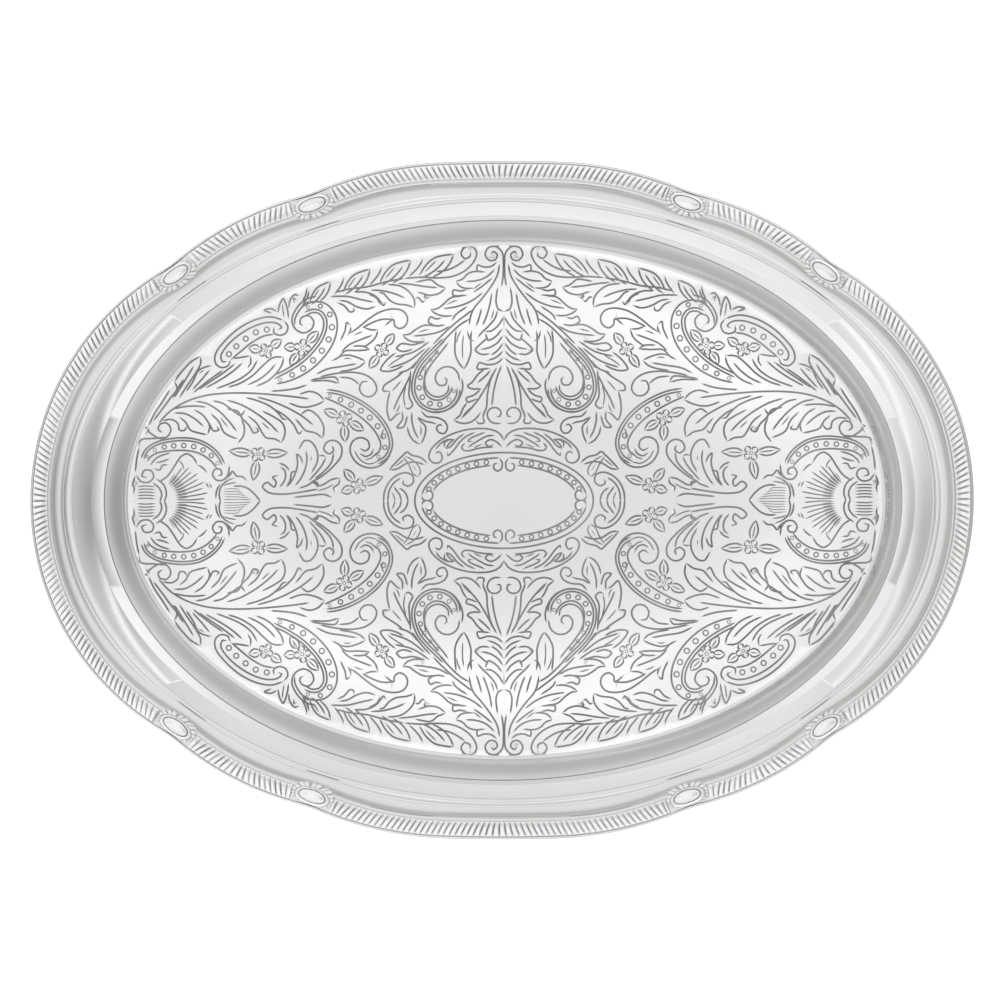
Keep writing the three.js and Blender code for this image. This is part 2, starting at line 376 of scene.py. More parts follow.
def smooth(piece: bpy.types.Object, crease: float) -> None:
    """Shades a piece smooth, but for edges that turn by more than the crease.

    Args:
        piece: The piece.
        crease: The angle in degrees.
    """
    start_clean()
    piece.select_set(True)
    bpy.context.view_layer.objects.active = piece
    bpy.ops.object.shade_smooth_by_angle(angle=math.radians(crease))


def hand_over(piece: bpy.types.Object, nodes: Sequence[str]) -> None:
    """Gives a finished piece its slot and its place in the frame, and reports it.

    Args:
        piece: The finished piece.
        nodes: The CAD nodes that it stands for.
    """
    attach(piece, BODY)
    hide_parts(*nodes)
    log.info("%s: %d faces", piece.name, len(piece.data.polygons))


# ------------------------------------------------------------------------------ the rim in plan


@dataclass(frozen=True)
class Arc:
    """A part of a circle, run from one turn to another; it is clockwise where the end is smaller."""

    center: Vector
    radius: float
    start: float
    end: float

    @property
    def length(self) -> float:
        """Its length along the circle."""
        return self.radius * abs(self.end - self.start)

    def at(self, share: float) -> tuple[Vector, Vector]:
        """Finds a place on it.

        Args:
            share: How far along it, from 0 to 1.

        Returns:
            The place and the way that the arc runs there.
        """
        turn = self.start + share * (self.end - self.start)
        out = Vector((math.cos(turn), math.sin(turn)))
        ahead = Vector((-out.y, out.x)) * math.copysign(1.0, self.end - self.start)
        return self.center + self.radius * out, ahead


def turn_towards(start: Vector, end: Vector) -> float:
    """The direction from one point to another, as an angle."""
    return math.atan2(end.y - start.y, end.x - start.x)


def circle_through(p: Vector, q: Vector, r: Vector) -> tuple[Vector, float]:
    """Finds the circle through three points.

    Args:
        p: A point on it.
        q: A second.
        r: A third.

    Returns:
        Its centre and its radius.
    """
    a, b = q - p, r - p
    double = 2 * (a.x * b.y - a.y * b.x)
    x = (b.y * a.length_squared - a.y * b.length_squared) / double
    y = (a.x * b.length_squared - b.x * a.length_squared) / double
    return Vector((p.x + x, p.y + y)), math.hypot(x, y)


def point_at_distances(p: Vector, from_p: float, q: Vector, from_q: float, near: Vector) -> Vector:
    """Finds the point at two distances from two points.

    Args:
        p: The first point.
        from_p: The distance from it.
        q: The second point.
        from_q: The distance from that.
        near: A point on the side of the line pq where the answer is.

    Returns:
        The point.
    """
    along = q - p
    span = along.length
    along = along.normalized()
    across = Vector((-along.y, along.x))
    x = (span**2 + from_p**2 - from_q**2) / (2 * span)
    y = math.sqrt(from_p**2 - x**2)
    side = math.copysign(1.0, across.dot(near - p))
    return p + along * x + across * side * y


@dataclass
class RimPlan:
    """The lobed edge and the bands inside it, seen from above, in millimetres."""

    half_length: float
    half_width: float
    end_neck: tuple[float, float] = (math.radians(45), 2.4)
    side_neck: tuple[float, float] = (math.radians(66), 1.5)
    neck_radius: float = 60.0
    shoulder_radius: float = 180.0
    crown_radius: float = 900.0
    lip: float = 1.9
    bead: float = 9.5
    cove: float = 11.2
    ridge: float = 18.8
    flange: float = 21.0
    line: float = 27.9
    wall: float = 30.0
    floor: float = 42.6
    ridge_extra: float = 1.0
    line_extra: float = 2.6
    wall_extra: float = 7.2
    floor_extra: float = 5.6
    arcs: list[Arc] = field(init=False)
    ends: list[float] = field(init=False)

    def __post_init__(self) -> None:
        """Lays out the arcs of one quarter, from the +X end to the +Y side."""
        end_neck = self.oval_point(self.end_neck[0], -self.end_neck[1])
        side_neck = self.oval_point(self.side_neck[0], -self.side_neck[1])
        top = self.oval_point((self.end_neck[0] + self.side_neck[0]) / 2, 0.0)
        mirrored = Vector((end_neck.x, -end_neck.y))
        end = circle_through(mirrored, Vector((self.half_length, 0.0)), end_neck)
        corner = circle_through(end_neck, top, side_neck)
        crown = (Vector((0.0, self.half_width - self.crown_radius)), self.crown_radius)
        inwards = self.crown_radius - self.shoulder_radius
        center = point_at_distances(crown[0], inwards, side_neck, self.shoulder_radius, Vector((0.0, 0.0)))
        shoulder = (center, self.shoulder_radius)
        end_blend = self.neck_blend(end, corner, end_neck)
        side_blend = self.neck_blend(corner, shoulder, side_neck)
        crown_end = turn_towards(crown[0], shoulder[0])
        self.arcs = [
            self.arc(end, 0.0, turn_towards(end[0], end_blend[0])),
            self.arc(end_blend, *self.turns(end_blend, end, corner)),
            self.arc(corner, *self.turns(corner, end_blend, side_blend)),
            self.arc(side_blend, *self.turns(side_blend, corner, shoulder)),
            self.arc(shoulder, turn_towards(shoulder[0], side_blend[0]), crown_end),
            self.arc(crown, crown_end, math.pi / 2),
        ]
        self.ends = [0.0]
        for arc in self.arcs:
            self.ends.append(self.ends[-1] + arc.length)

    def oval_point(self, turn: float, outwards: float) -> Vector:
        """Finds a point near the oval of the tray's length and width.

        Args:
            turn: The oval's own angle.
            outwards: The distance outside it.

        Returns:
            The point.
        """
        point = Vector((self.half_length * math.cos(turn), self.half_width * math.sin(turn)))
        normal = Vector((self.half_width * math.cos(turn), self.half_length * math.sin(turn)))
        return point + normal.normalized() * outwards

    def neck_blend(self, lobe: tuple, next_lobe: tuple, corner: Vector) -> tuple[Vector, float]:
        """Finds the hollow circle that joins two lobes outside both of them.

        Args:
            lobe: A lobe's centre and radius.
            next_lobe: The next lobe's.
            corner: Where the two lobes cross.

        Returns:
            The circle's centre and radius.
        """
        reach = lobe[1] + self.neck_radius
        next_reach = next_lobe[1] + self.neck_radius
        return point_at_distances(lobe[0], reach, next_lobe[0], next_reach, corner * 2), self.neck_radius

    @staticmethod
    def turns(circle: tuple, before: tuple, after: tuple) -> tuple[float, float]:
        """The turns on a circle where it meets the circles before and after it."""
        return turn_towards(circle[0], before[0]), turn_towards(circle[0], after[0])

    @staticmethod
    def arc(circle: tuple, start: float, end: float) -> Arc:
        """Runs an arc the short way round between two turns."""
        span = math.remainder(end - start, math.tau)
        return Arc(circle[0], circle[1], start, start + span)

    @property
    def quarter(self) -> float:
        """The length of a quarter of the edge."""
        return self.ends[-1]

    def edge_at(self, along: float) -> tuple[Vector, Vector]:
        """Finds a place on the edge.

        Args:
            along: The distance along the rim, anticlockwise from the +X end.

        Returns:
            The place and the outward normal there.
        """
        quarter = math.floor(along / self.quarter + 1e-9)
        rest = along - quarter * self.quarter
        distance = rest if quarter % 2 == 0 else self.quarter - rest
        distance = min(max(distance, 0.0), self.quarter)
        around = quarter % 4
        mirror = Vector((-1.0 if around in (1, 2) else 1.0, -1.0 if around >= 2 else 1.0))
        index = 0
        while index < len(self.arcs) - 1 and distance > self.ends[index + 1]:
            index += 1
        arc = self.arcs[index]
        point, ahead = arc.at((distance - self.ends[index]) / arc.length)
        return point * mirror, Vector((ahead.y, -ahead.x)) * mirror

    def at(self, along: float, inset: float) -> Vector:
        """Finds a place inside the edge: the bands follow the lobes as far as the cove, then plain ovals.

        Args:
            along: The distance along the rim.
            inset: The distance inwards, as it is on the tray's short axis.

        Returns:
            The place in plan.
        """
        point, normal = self.edge_at(along)
        if inset <= self.cove:
            return point - normal * inset
        turn = math.atan2(point.y / self.half_width, point.x / self.half_length)
        outer_inset, outer = self.cove, point - normal * self.cove
        for ring, x, y in self.rings():
            place = Vector((x * math.cos(turn), y * math.sin(turn)))
            if inset <= ring:
                return outer.lerp(place, (inset - outer_inset) / (ring - outer_inset))
            outer_inset, outer = ring, place
        return outer

    def rings(self) -> list[tuple[float, float, float]]:
        """The plain ovals, as (inset, half length, half width) from the ridge to the middle."""
        plain = [
            (self.ridge, self.ridge_extra), (self.flange, self.ridge_extra), (self.line, self.line_extra),
            (self.wall, self.wall_extra), (self.floor, self.floor_extra),
        ]
        ovals = [(inset, self.half_length - inset - extra, self.half_width - inset) for inset, extra in plain]
        return [*ovals, (self.half_width, 0.0, 0.0)]

    def clasp_places(self) -> list[float]:
        """The distances along the rim of the eight necks, anticlockwise from the +X end."""
        end = (self.ends[1] + self.ends[2]) / 2
        side = (self.ends[3] + self.ends[4]) / 2
        half = [end, side, 2 * self.quarter - side, 2 * self.quarter - end]
        return [*half, *(place + 2 * self.quarter for place in half)]


# ------------------------------------------------------------------------------- the engraving


class Tool(Enum):
    """The engraver's tools, by half the width in millimetres that each one cuts."""

    FINE = 0.22
    LINER = 0.36
    GRAVER = 0.48


@dataclass(frozen=True)
class Cut:
    """One cut: the points along its bottom and half its width at each."""

    points: np.ndarray
    half_widths: np.ndarray


def through(points: Sequence[Point], closed: bool = False) -> np.ndarray:
    """Runs a smooth line through points, finely stepped.

    Args:
        points: The points, in order.
        closed: Whether the line comes back to its start.

    Returns:
        The line's places, about a quarter of a millimetre apart.
    """
    knots = np.array(points, float)
    if closed:
        padded = np.vstack([knots[-1], knots, knots[0], knots[1]])
    else:
        padded = np.vstack([2 * knots[0] - knots[1], knots, 2 * knots[-1] - knots[-2]])
    places = []
    for p0, p1, p2, p3 in zip(padded, padded[1:], padded[2:], padded[3:]):
        times = [0.0]
        for a, b in ((p0, p1), (p1, p2), (p2, p3)):
            times.append(times[-1] + max(float(np.hypot(*(b - a))), 1e-6) ** 0.5)
        t0, t1, t2, t3 = times
        steps = max(2, math.ceil(float(np.hypot(*(p2 - p1))) / LINE_STEP))
        t = np.linspace(t1, t2, steps, endpoint=False)[:, None]
        a1 = (t1 - t) / (t1 - t0) * p0 + (t - t0) / (t1 - t0) * p1
        a2 = (t2 - t) / (t2 - t1) * p1 + (t - t1) / (t2 - t1) * p2
        a3 = (t3 - t) / (t3 - t2) * p2 + (t - t2) / (t3 - t2) * p3
        b1 = (t2 - t) / (t2 - t0) * a1 + (t - t0) / (t2 - t0) * a2
        b2 = (t3 - t) / (t3 - t1) * a2 + (t - t1) / (t3 - t1) * a3
        places.append((t2 - t) / (t2 - t1) * b1 + (t - t1) / (t2 - t1) * b2)
    places.append((padded[1] if closed else knots[-1])[None])
    return np.vstack(places)


def thin_out(line: np.ndarray, reach: float, bend: float) -> np.ndarray:
    """Keeps the places of a fine line that its shape needs.

    Args:
        line: The fine line.
        reach: The longest step to leave, in millimetres.
        bend: The most that it may turn in a step, in radians.

    Returns:
        The kept places.
    """
    runs = np.diff(line, axis=0)
    angles = np.unwrap(np.arctan2(runs[:, 1], runs[:, 0]))
    kept = [0]
    for i in range(1, len(line) - 1):
        if np.hypot(*(line[i] - line[kept[-1]])) > reach or abs(angles[i] - angles[kept[-1]]) > bend:
            kept.append(i)
    if len(kept) > 1 and np.hypot(*(line[-1] - line[kept[-1]])) < LEAST_STEP:
        kept.pop()
    kept.append(len(line) - 1)
    return line[kept]


def sideways(line: np.ndarray, distance: np.ndarray | float) -> np.ndarray:
    """Moves a line to its left.

    Args:
        line: The line's places.
        distance: How far, in all or at each place; negative is to the right.

    Returns:
        The moved line.
    """
    ahead = np.gradient(line, axis=0)
    ahead /= np.maximum(np.hypot(ahead[:, 0], ahead[:, 1]), 1e-9)[:, None]
    left = np.column_stack([-ahead[:, 1], ahead[:, 0]])
    return line + left * np.broadcast_to(distance, (len(line),))[:, None]


@dataclass
class Engraver:
    """Collects the cuts of one quarter of the floor and works them into a triangulated sheet."""

    half_length: float
    half_width: float
    slope: float = 0.52
    taper: float = 1.3
    point_width: float = 0.12
    small_ring: float = 1.05
    ring_points: int = 33
    reach: float = 0.7
    least_depth: float = 0.012
    edge_share: float = 0.998
    longest: float = 1.9
    bend: float = math.radians(24)
    cuts: list[Cut] = field(default_factory=list)

    def line(self, *points: Point, tool: Tool = Tool.GRAVER) -> None:
        """Cuts a smooth line through points, pointed at both ends."""
        self.add(through(points), tool)

    def vein(self, *points: Point) -> None:
        """Cuts a smooth line through points with the liner."""
        self.line(*points, tool=Tool.LINER)

    def hair(self, *points: Point) -> None:
        """Cuts a smooth line through points with the fine tool."""
        self.line(*points, tool=Tool.FINE)

    def add(self, line: np.ndarray, tool: Tool = Tool.GRAVER, pointed: bool = True) -> None:
        """Adds a cut.

        Args:
            line: The fine line that it follows.
            tool: The tool.
            pointed: Whether its ends come to a point.
        """
        points = thin_out(line, self.longest, self.bend)
        gone = np.concatenate([[0.0], np.cumsum(np.hypot(*np.diff(points, axis=0).T))])
        widths = np.full(len(points), tool.value)
        if pointed:
            left = np.minimum(gone, gone[-1] - gone)
            widths *= np.clip(self.point_width + left / self.taper, self.point_width, 1.0)
        self.cuts.append(Cut(points, widths))

    def ring(self, center: Point, radius: float, tool: Tool = Tool.LINER) -> None:
        """Cuts a small circle, such as a bead."""
        turns = np.linspace(0, math.tau, self.ring_points)
        circle = np.column_stack([np.cos(turns), np.sin(turns)]) * radius + np.array(center)
        self.add(circle, tool if radius > self.small_ring else Tool.FINE, pointed=False)

    def leaf(self, base: Point, tip: Point, left: float, right: float, veins: int = 1) -> None:
        """Cuts a pointed leaf.

        Args:
            base: Where it grows from.
            tip: Its point.
            left: How far it swells to its left, in millimetres.
            right: How far to its right.
            veins: How many veins run from its base.
        """
        start, end = np.array(base), np.array(tip)
        ahead = end - start
        across = np.array([-ahead[1], ahead[0]]) / np.hypot(*ahead)

        def spot(share: float, side: float) -> Point:
            """A place beside the leaf's middle line."""
            return tuple(start + ahead * share + across * side)

        for side in (left, -right):
            self.line(spot(0.06, side * 0.3), spot(0.32, side * 0.95), spot(0.62, side * 0.9), base_tip(end))
        for i in range(veins):
            lean = (i - (veins - 1) / 2) * 0.5 * (left + right) / max(veins, 1)
            self.vein(spot(0.1, lean * 0.4), spot(0.42, lean), spot(0.74, lean * 0.7))

    def blossom(self, center: Point, radius: float, lean: float, petals: int = 4) -> None:
        """Cuts a small open flower with a veined petal on each side.

        Args:
            center: Its middle.
            radius: Its radius.
            lean: The direction of its first petal, in degrees.
            petals: How many petals it has.
        """
        middle = np.array(center)
        eye, petal_foot, petal_tip = 0.24, 0.32, 1.3
        swell = radius * 0.45
        self.ring(center, radius * eye)
        for petal in range(petals):
            angle = math.radians(lean) + math.tau * petal / petals
            spoke = np.array([math.cos(angle), math.sin(angle)]) * radius
            foot, tip = base_tip(middle + spoke * petal_foot), base_tip(middle + spoke * petal_tip)
            self.leaf(foot, tip, swell, swell)

    def beaded_band(
        self,
        path: Sequence[Point],
        half_widths: tuple[float, float],
        pitch: float = 5.4,
        bead: float = 1.15,
        double: float = 1.45,
    ) -> np.ndarray:
        """Cuts a band with a row of beads along it, a double line on its left and a single one on its right.

        Args:
            path: The band's middle.
            half_widths: Half its width where it starts and where it ends.
            pitch: The distance from bead to bead.
            bead: A bead's radius in the widest part.
            double: How far the second outer line stands from the first.

        Returns:
            The fine line of the band's middle.
        """
        middle = through(path)
        share = np.linspace(0, 1, len(middle))
        swell = np.sin(np.pi * np.clip(share * 0.86 + 0.1, 0, 1)) ** 0.45
        half = (half_widths[0] + (half_widths[1] - half_widths[0]) * share) * swell
        self.add(sideways(middle, half))
        self.add(sideways(middle, half + double))
        self.add(sideways(middle, -half))
        gone = np.concatenate([[0.0], np.cumsum(np.hypot(*np.diff(middle, axis=0).T))])
        count = int((gone[-1] - 0.6 * pitch) / pitch)
        for i in range(count + 1):
            at = 0.45 * pitch + i * (gone[-1] - 0.9 * pitch) / max(count, 1)
            index = int(np.searchsorted(gone, at))
            room = float(half[min(index, len(half) - 1)]) * 0.5
            if room > 0.6:
                self.ring(tuple(middle[min(index, len(middle) - 1)]), min(bead, room))
        return middle

    def sheet(self, boundary: Sequence[Vector]) -> tuple[np.ndarray, np.ndarray, np.ndarray]:
        """Works the cuts into a triangulated quarter of the floor.

        Args:
            boundary: The quarter's outer edge, from the +X axis to the +Y axis.

        Returns:
            The vertices (x, y, depth), the triangles, and whether each one lies in a cut.
        """
        points: list[Vector] = []
        edges: list[tuple[int, int]] = []
        outline = [*boundary, Vector((0.0, 0.0))]
        points.extend(outline)
        edges.extend((i, (i + 1) % len(outline)) for i in range(len(outline)))
        for cut in self.cuts:
            for side in (-1.0, 0.0, 1.0):
                self.lay_line(sideways(cut.points, side * cut.half_widths), points, edges)
        vertices, _, faces, *_ = geometry.delaunay_2d_cdt(points, edges, [], 0, 1e-4, False)
        places = np.array([vertex[:] for vertex in vertices])
        triangles = np.array([face for face in faces if len(face) == 3])
        depth = self.depths(places)
        sides = places[triangles]
        area = np.cross(sides[:, 1] - sides[:, 0], sides[:, 2] - sides[:, 0])
        triangles = triangles[np.abs(area) > 1e-6]
        area = area[np.abs(area) > 1e-6]
        triangles[area < 0] = triangles[area < 0][:, ::-1]
        cut_in = self.depths(places[triangles].mean(axis=1)) > 0.0
        return np.column_stack([places, depth]), triangles, cut_in

    def lay_line(self, line: np.ndarray, points: list[Vector], edges: list[tuple[int, int]]) -> None:
        """Adds the part of a line that lies in the quarter.

        Args:
            line: The line.
            points: The points so far.
            edges: The edges so far.
        """
        last = -1
        for start, end in zip(line, line[1:]):
            piece = self.inside(start, end)
            if piece is None:
                last = -1
                continue
            a, b = piece
            if last < 0 or not np.allclose(a, start):
                points.append(Vector(a))
                last = len(points) - 1
            points.append(Vector(b))
            edges.append((last, len(points) - 1))
            last = len(points) - 1 if np.allclose(b, end) else -1

    def inside(self, a: np.ndarray, b: np.ndarray) -> tuple[np.ndarray, np.ndarray] | None:
        """Cuts a step off at the two axes and drops it outside the floor.

        Args:
            a: Its start.
            b: Its end.

        Returns:
            What is left of it, or nothing.
        """
        rim = max((p[0] / self.half_length) ** 2 + (p[1] / self.half_width) ** 2 for p in (a, b))
        if rim > self.edge_share**2:
            return None
        low, high = 0.0, 1.0
        for axis in (0, 1):
            start, run = a[axis], b[axis] - a[axis]
            if start < 0 and start + run < 0:
                return None
            if start < 0:
                low = max(low, -start / run)
            elif start + run < 0:
                high = min(high, -start / run)
        if high - low < 1e-6:
            return None
        ends = [a + (b - a) * low, a + (b - a) * high]
        return np.maximum(ends[0], 0.0), np.maximum(ends[1], 0.0)

    def depths(self, places: np.ndarray) -> np.ndarray:
        """Finds how deep the floor is cut at each place.

        Args:
            places: The places.

        Returns:
            The depths in millimetres; zero where the floor is whole.
        """
        depth = np.zeros(len(places))
        for cut in self.cuts:
            starts, ends = cut.points[:-1], cut.points[1:]
            low = cut.points.min(axis=0) - self.reach
            high = cut.points.max(axis=0) + self.reach
            near = np.nonzero(((places > low) & (places < high)).all(axis=1))[0]
            if not len(near):
                continue
            runs = ends - starts
            spans = np.maximum((runs**2).sum(axis=1), 1e-12)
            offsets = places[near][:, None] - starts[None]
            share = np.clip((offsets * runs).sum(axis=2) / spans, 0, 1)
            feet = starts + share[..., None] * runs
            gap = np.hypot(*np.moveaxis(places[near][:, None] - feet, 2, 0))
            widths = cut.half_widths[:-1] + share * np.diff(cut.half_widths)
            deepest = ((widths - gap) * self.slope).max(axis=1)
            depth[near] = np.maximum(depth[near], deepest)
        return np.where(depth > self.least_depth, depth, 0.0)


def base_tip(place: np.ndarray) -> Point:
    """A place as a plain pair."""
    return float(place[0]), float(place[1])


@dataclass
class FloorOrnament:
    """The scrollwork of one quarter: scrolls with beads, leaves, shells and flowers round a cartouche."""

    half_length: float
    half_width: float
    engraver: Engraver = field(init=False)

    def __post_init__(self) -> None:
        """Cuts every motif."""
        self.engraver = Engraver(self.half_length, self.half_width)
        self.cartouche()
        self.arch_panel()
        self.end_panel()
        self.palmette()
        self.palmette_foot()
        self.border_leaves()
        self.round_scroll()
        self.great_scroll()
        self.comma_scroll()
        self.upper_spray()
        self.lower_spray()
        self.side_scroll()
        self.long_leaves()
        self.lily()
        self.blossoms()
        self.end_shell()
        self.end_fan()

    def oval(self, x: float, y: float, start: float, end: float) -> np.ndarray:
        """A part of an oval as a fine line.

        Args:
            x: Its half length.
            y: Its half width.
            start: Its own angle where it starts, in degrees.
            end: Where it ends.

        Returns:
            The line.
        """
        turns = np.radians(np.linspace(start, end, 400))
        return np.column_stack([x * np.cos(turns), y * np.sin(turns)])

    def cartouche(self) -> None:
        """The plain oval in the middle, with its beaded frame."""
        cut = self.engraver
        cut.add(self.oval(45.5, 24.2, -1, 91), pointed=False)
        cut.add(self.oval(42.3, 21.6, 7, 86.5), pointed=True)
        cut.add(self.oval(37.6, 18.0, 15, 80), pointed=True)
        for turn in (17, 27, 36.5, 45.5, 54, 62, 69.5, 77):
            angle = math.radians(turn)
            cut.ring((40.0 * math.cos(angle), 19.8 * math.sin(angle)), 1.15)
        cut.line((2.6, 21.5), (0.9, 19.2), (1.3, 16), (3.4, 14.9), (5.3, 16.4), (4.9, 18.4), (3.2, 18.9))
        cut.line((42, 2.8), (41.3, 0.6), (39, -0.2), (36.6, 1.2), (36.6, 4), (38.8, 5), (40.2, 3.6))

    def arch_panel(self) -> None:
        """The scroll that arches over the cartouche, with leaves under it."""
        cut = self.engraver
        cut.line(
            (0, 30.2), (2, 33.6), (6, 35.7), (12, 36.4), (20, 35.6), (28, 33), (34, 29.3), (37.7, 25),
            (38.2, 21.2), (35.5, 18.9), (32.3, 19.7), (31.5, 22.6), (33.2, 24.7), (35.2, 23.6),
        )
        cut.line((35, 25.6), (32.5, 28.8), (28, 31.3))
        cut.line((4.6, 32.9), (8.5, 32.6), (12.5, 30.6), (16.5, 28.2), (18.6, 26.6))
        cut.line((9.5, 34.6), (13, 33.2), (17.5, 31.2), (18.2, 30), (15.6, 29.9))
        cut.line((14.5, 34.6), (19, 32.6), (22.5, 29.6), (26, 25), (28.6, 22.8), (28.8, 24.8))
        cut.line((20, 34), (24, 31), (27, 27.4), (29.3, 26.6), (28.2, 28.6), (25.2, 31))
        cut.line((24.6, 30.6), (28.2, 30.8), (30.4, 29), (30.2, 26.6))
        cut.line((1, 26.8), (3.4, 29.4), (7, 30.8), (9.5, 29), (7.6, 27.3), (5, 28.4))
        cut.line((5, 27), (10, 26.8), (14, 26.2), (17.5, 25.2), (20.5, 25.4), (21.6, 27), (19.8, 29.2))
        cut.vein((10.5, 28.5), (13, 27.8), (15.5, 26.6))

    def end_panel(self) -> None:
        """The small leaves and the curl that stand at the end of the cartouche."""
        cut = self.engraver
        cut.line(
            (61.5, -1), (61, 4.5), (58.5, 9.6), (54.5, 13), (50, 14.2), (46.6, 12.6), (46.3, 9.2),
            (49, 7.3), (51.6, 8.8), (51, 10.9),
        )
        cut.line((59.3, -1), (58.8, 4.5), (56.4, 8.8), (52.6, 11.6))
        cut.line((39, 18.8), (42.6, 21.9), (47, 22.9), (49.5, 24.6), (52, 22.5), (55.5, 19), (58.6, 15.6))
        cut.line((58.6, 15.6), (54.5, 16), (50.5, 18.5), (46, 19.6), (40.5, 18.2))
        cut.vein((51.4, 22.4), (48.3, 17.7), (46.7, 13.9), (43.9, 11.8))
        cut.vein((43.9, 11.8), (42.6, 14.7), (43.7, 17.7), (46.7, 20.6), (50.6, 22.6))
        cut.hair((46.6, 18.4), (45.6, 16.6), (44.5, 14.6))
        cut.vein((50.4, 21.4), (53, 19.2), (55.6, 17.2))
        cut.line((48.8, -1), (49.6, 2.6), (51.4, 5.2), (53.6, 6.4))
        cut.line((52.4, -1), (53, 2.6), (54.8, 5), (56.2, 7.2))
        cut.vein((55.6, -1), (56, 2), (57.2, 4.4))

    def palmette(self) -> None:
        """The tall spray of leaves at the middle of each long side."""
        cut = self.engraver
        cut.line(
            (1.2, 108), (0.4, 114), (0.3, 120), (0.8, 125.2), (4.2, 128.4), (8.2, 127.6), (9.6, 124.2),
            (7.4, 121.3), (4.4, 121.7), (3.4, 124.2), (5.4, 125.8), (6.9, 124.4),
        )
        cut.line(
            (2.2, 119.6), (3.4, 113.8), (6.6, 108.2), (11.4, 101.8), (15.6, 96.8), (17.2, 92.4),
            (17.8, 88.4),
        )
        cut.line((15.9, 96.6), (18.4, 94.6), (24.5, 90), (31, 84.2), (36.2, 79))
        cut.line((17.5, 91.8), (22.5, 88.8), (28.5, 83.2), (33.5, 77.6))
        cut.line((3.6, 120.6), (6.2, 118.4), (10.5, 118), (13.4, 119), (13.6, 116.2), (9.4, 115.4))
        cut.line((9.4, 115.4), (15, 115.8), (18.6, 114.6), (21.2, 111.9), (24.6, 110.8))
        cut.line((24.6, 110.8), (22.4, 108.2), (19, 107.2), (15.6, 107.4))
        cut.line((4.6, 117), (8.6, 113.2), (13.6, 111.2), (19.4, 110.7))
        cut.line((5.8, 112.6), (10.2, 109), (15.6, 105.2))
        cut.vein((11.2, 110.2), (13.6, 108.4), (16, 106.6))
        cut.line((18.6, 106.6), (22.6, 105.9), (25.8, 106.4), (26, 103.8), (18.8, 103.8))
        cut.line((21, 103.4), (27, 102.6), (31.4, 98.8), (34.6, 96.8), (37.6, 96.6))
        cut.line((37.6, 96.6), (34.6, 94.4), (30, 93.2), (26, 93.6))
        cut.line((10.6, 105.2), (16.4, 101), (23.4, 98.2), (31, 97))
        cut.vein((23.4, 101.4), (26.4, 100.4), (29.4, 99))
        cut.line((18.4, 98.2), (22, 96), (25, 93.6), (26.4, 91))
        cut.line((31.4, 92.6), (34.8, 91.8), (37.4, 92.9), (38.6, 90.4), (34.6, 88.3), (30, 88.9))
        cut.line((34.6, 88.3), (40.5, 88.7), (45, 86.6), (48.4, 84.1), (51.8, 83.9))
        cut.line((51.8, 83.9), (49.2, 81.3), (45.6, 80.2), (40.4, 80.4))
        cut.line((27.6, 88.2), (33, 85.3), (39.6, 83.9), (46.6, 83.2))
        cut.vein((38, 86.6), (41, 86), (44, 85))
        cut.line((0, 95.5), (2.8, 96.6), (4, 99.6), (3.8, 104), (3.2, 107.8))
        cut.line((6.2, 105), (7.2, 99), (8.8, 93.5), (10.8, 88.6))
        cut.line((11.4, 97.4), (12.6, 92.6), (14.2, 88))
        cut.line((3.2, 96.4), (4.4, 92.4), (8, 88), (11.4, 84.8), (13.6, 82.2))
        cut.vein((5.2, 97), (5.8, 93.6), (7, 91.2))
        cut.line((0.2, 93), (2.6, 88.8), (6.6, 85.6), (9.6, 85.4))

    def palmette_foot(self) -> None:
        """The lower half of the spray: chevrons, narrow leaves and a pair of curls."""
        cut = self.engraver
        cut.line((0.8, 87), (4, 83), (8.2, 81), (9.4, 84.6))
        cut.line((0.4, 83.6), (3.2, 79.8), (7.6, 77.2), (12, 76.4))
        cut.line((8, 82.4), (11.4, 79.6), (14.6, 76), (11.4, 73.8), (7, 74.2))
        cut.line((0.3, 79.8), (3, 76), (6.6, 73.4))
        cut.line((0.3, 75.8), (3.8, 72.4), (8.8, 70.6))
        cut.line((0.3, 72.2), (3.6, 69.4), (8.4, 68.6), (12.6, 69.6), (13.6, 66.6), (7, 66.8))
        cut.line((1.2, 68.4), (3.4, 62.6), (5.2, 55.6), (6.2, 47.6))
        cut.line((3.6, 67.4), (6.6, 61.6), (8.4, 54), (9, 46.6), (10.4, 43.8), (10.6, 41))
        cut.line((5, 65.2), (9, 57.6), (13.6, 50.4), (18.6, 44.6), (22, 41.4))
        cut.line((9.6, 66.6), (13.4, 63.6), (16, 60), (18.6, 57.8), (16.4, 56.4), (11.6, 56.6))
        cut.line((6.6, 66), (9.6, 62.8), (13.6, 59.4))
        cut.line((11.6, 56.6), (15.4, 53.2), (19.2, 51.8), (18.6, 49.8), (13.6, 51.4))
        cut.line((18.6, 49.8), (21, 46.4), (22.6, 42.8), (25.8, 40.6))
        cut.line((25.8, 40.6), (21.4, 39), (17, 39.6), (13.6, 42.2), (11.8, 44.6))
        cut.vein((15.6, 48), (18.6, 45.4), (21, 43))
        cut.line((11, 42.8), (10.2, 39.4), (13, 39), (14.4, 40.8))
        cut.line(
            (1.2, 39.1), (4.6, 38.9), (7.4, 40.4), (8.6, 43.6), (7, 46.4), (3.8, 46.9), (1.6, 45),
            (2, 42.7), (4, 42.4),
        )
        cut.line((16.6, 86), (17, 80.4), (16.8, 75.4), (18.4, 70), (20.4, 66.4))
        cut.line((24.4, 86.4), (25, 79.6), (24.8, 73.6), (22.6, 69), (20.4, 66.4))
        cut.vein((20.6, 84), (21.2, 78), (21, 71.6))
        cut.line((15, 80.4), (17.2, 81.4), (18.8, 86))
        cut.vein((21.8, 86.2), (23.6, 82.6), (24.2, 79.6))

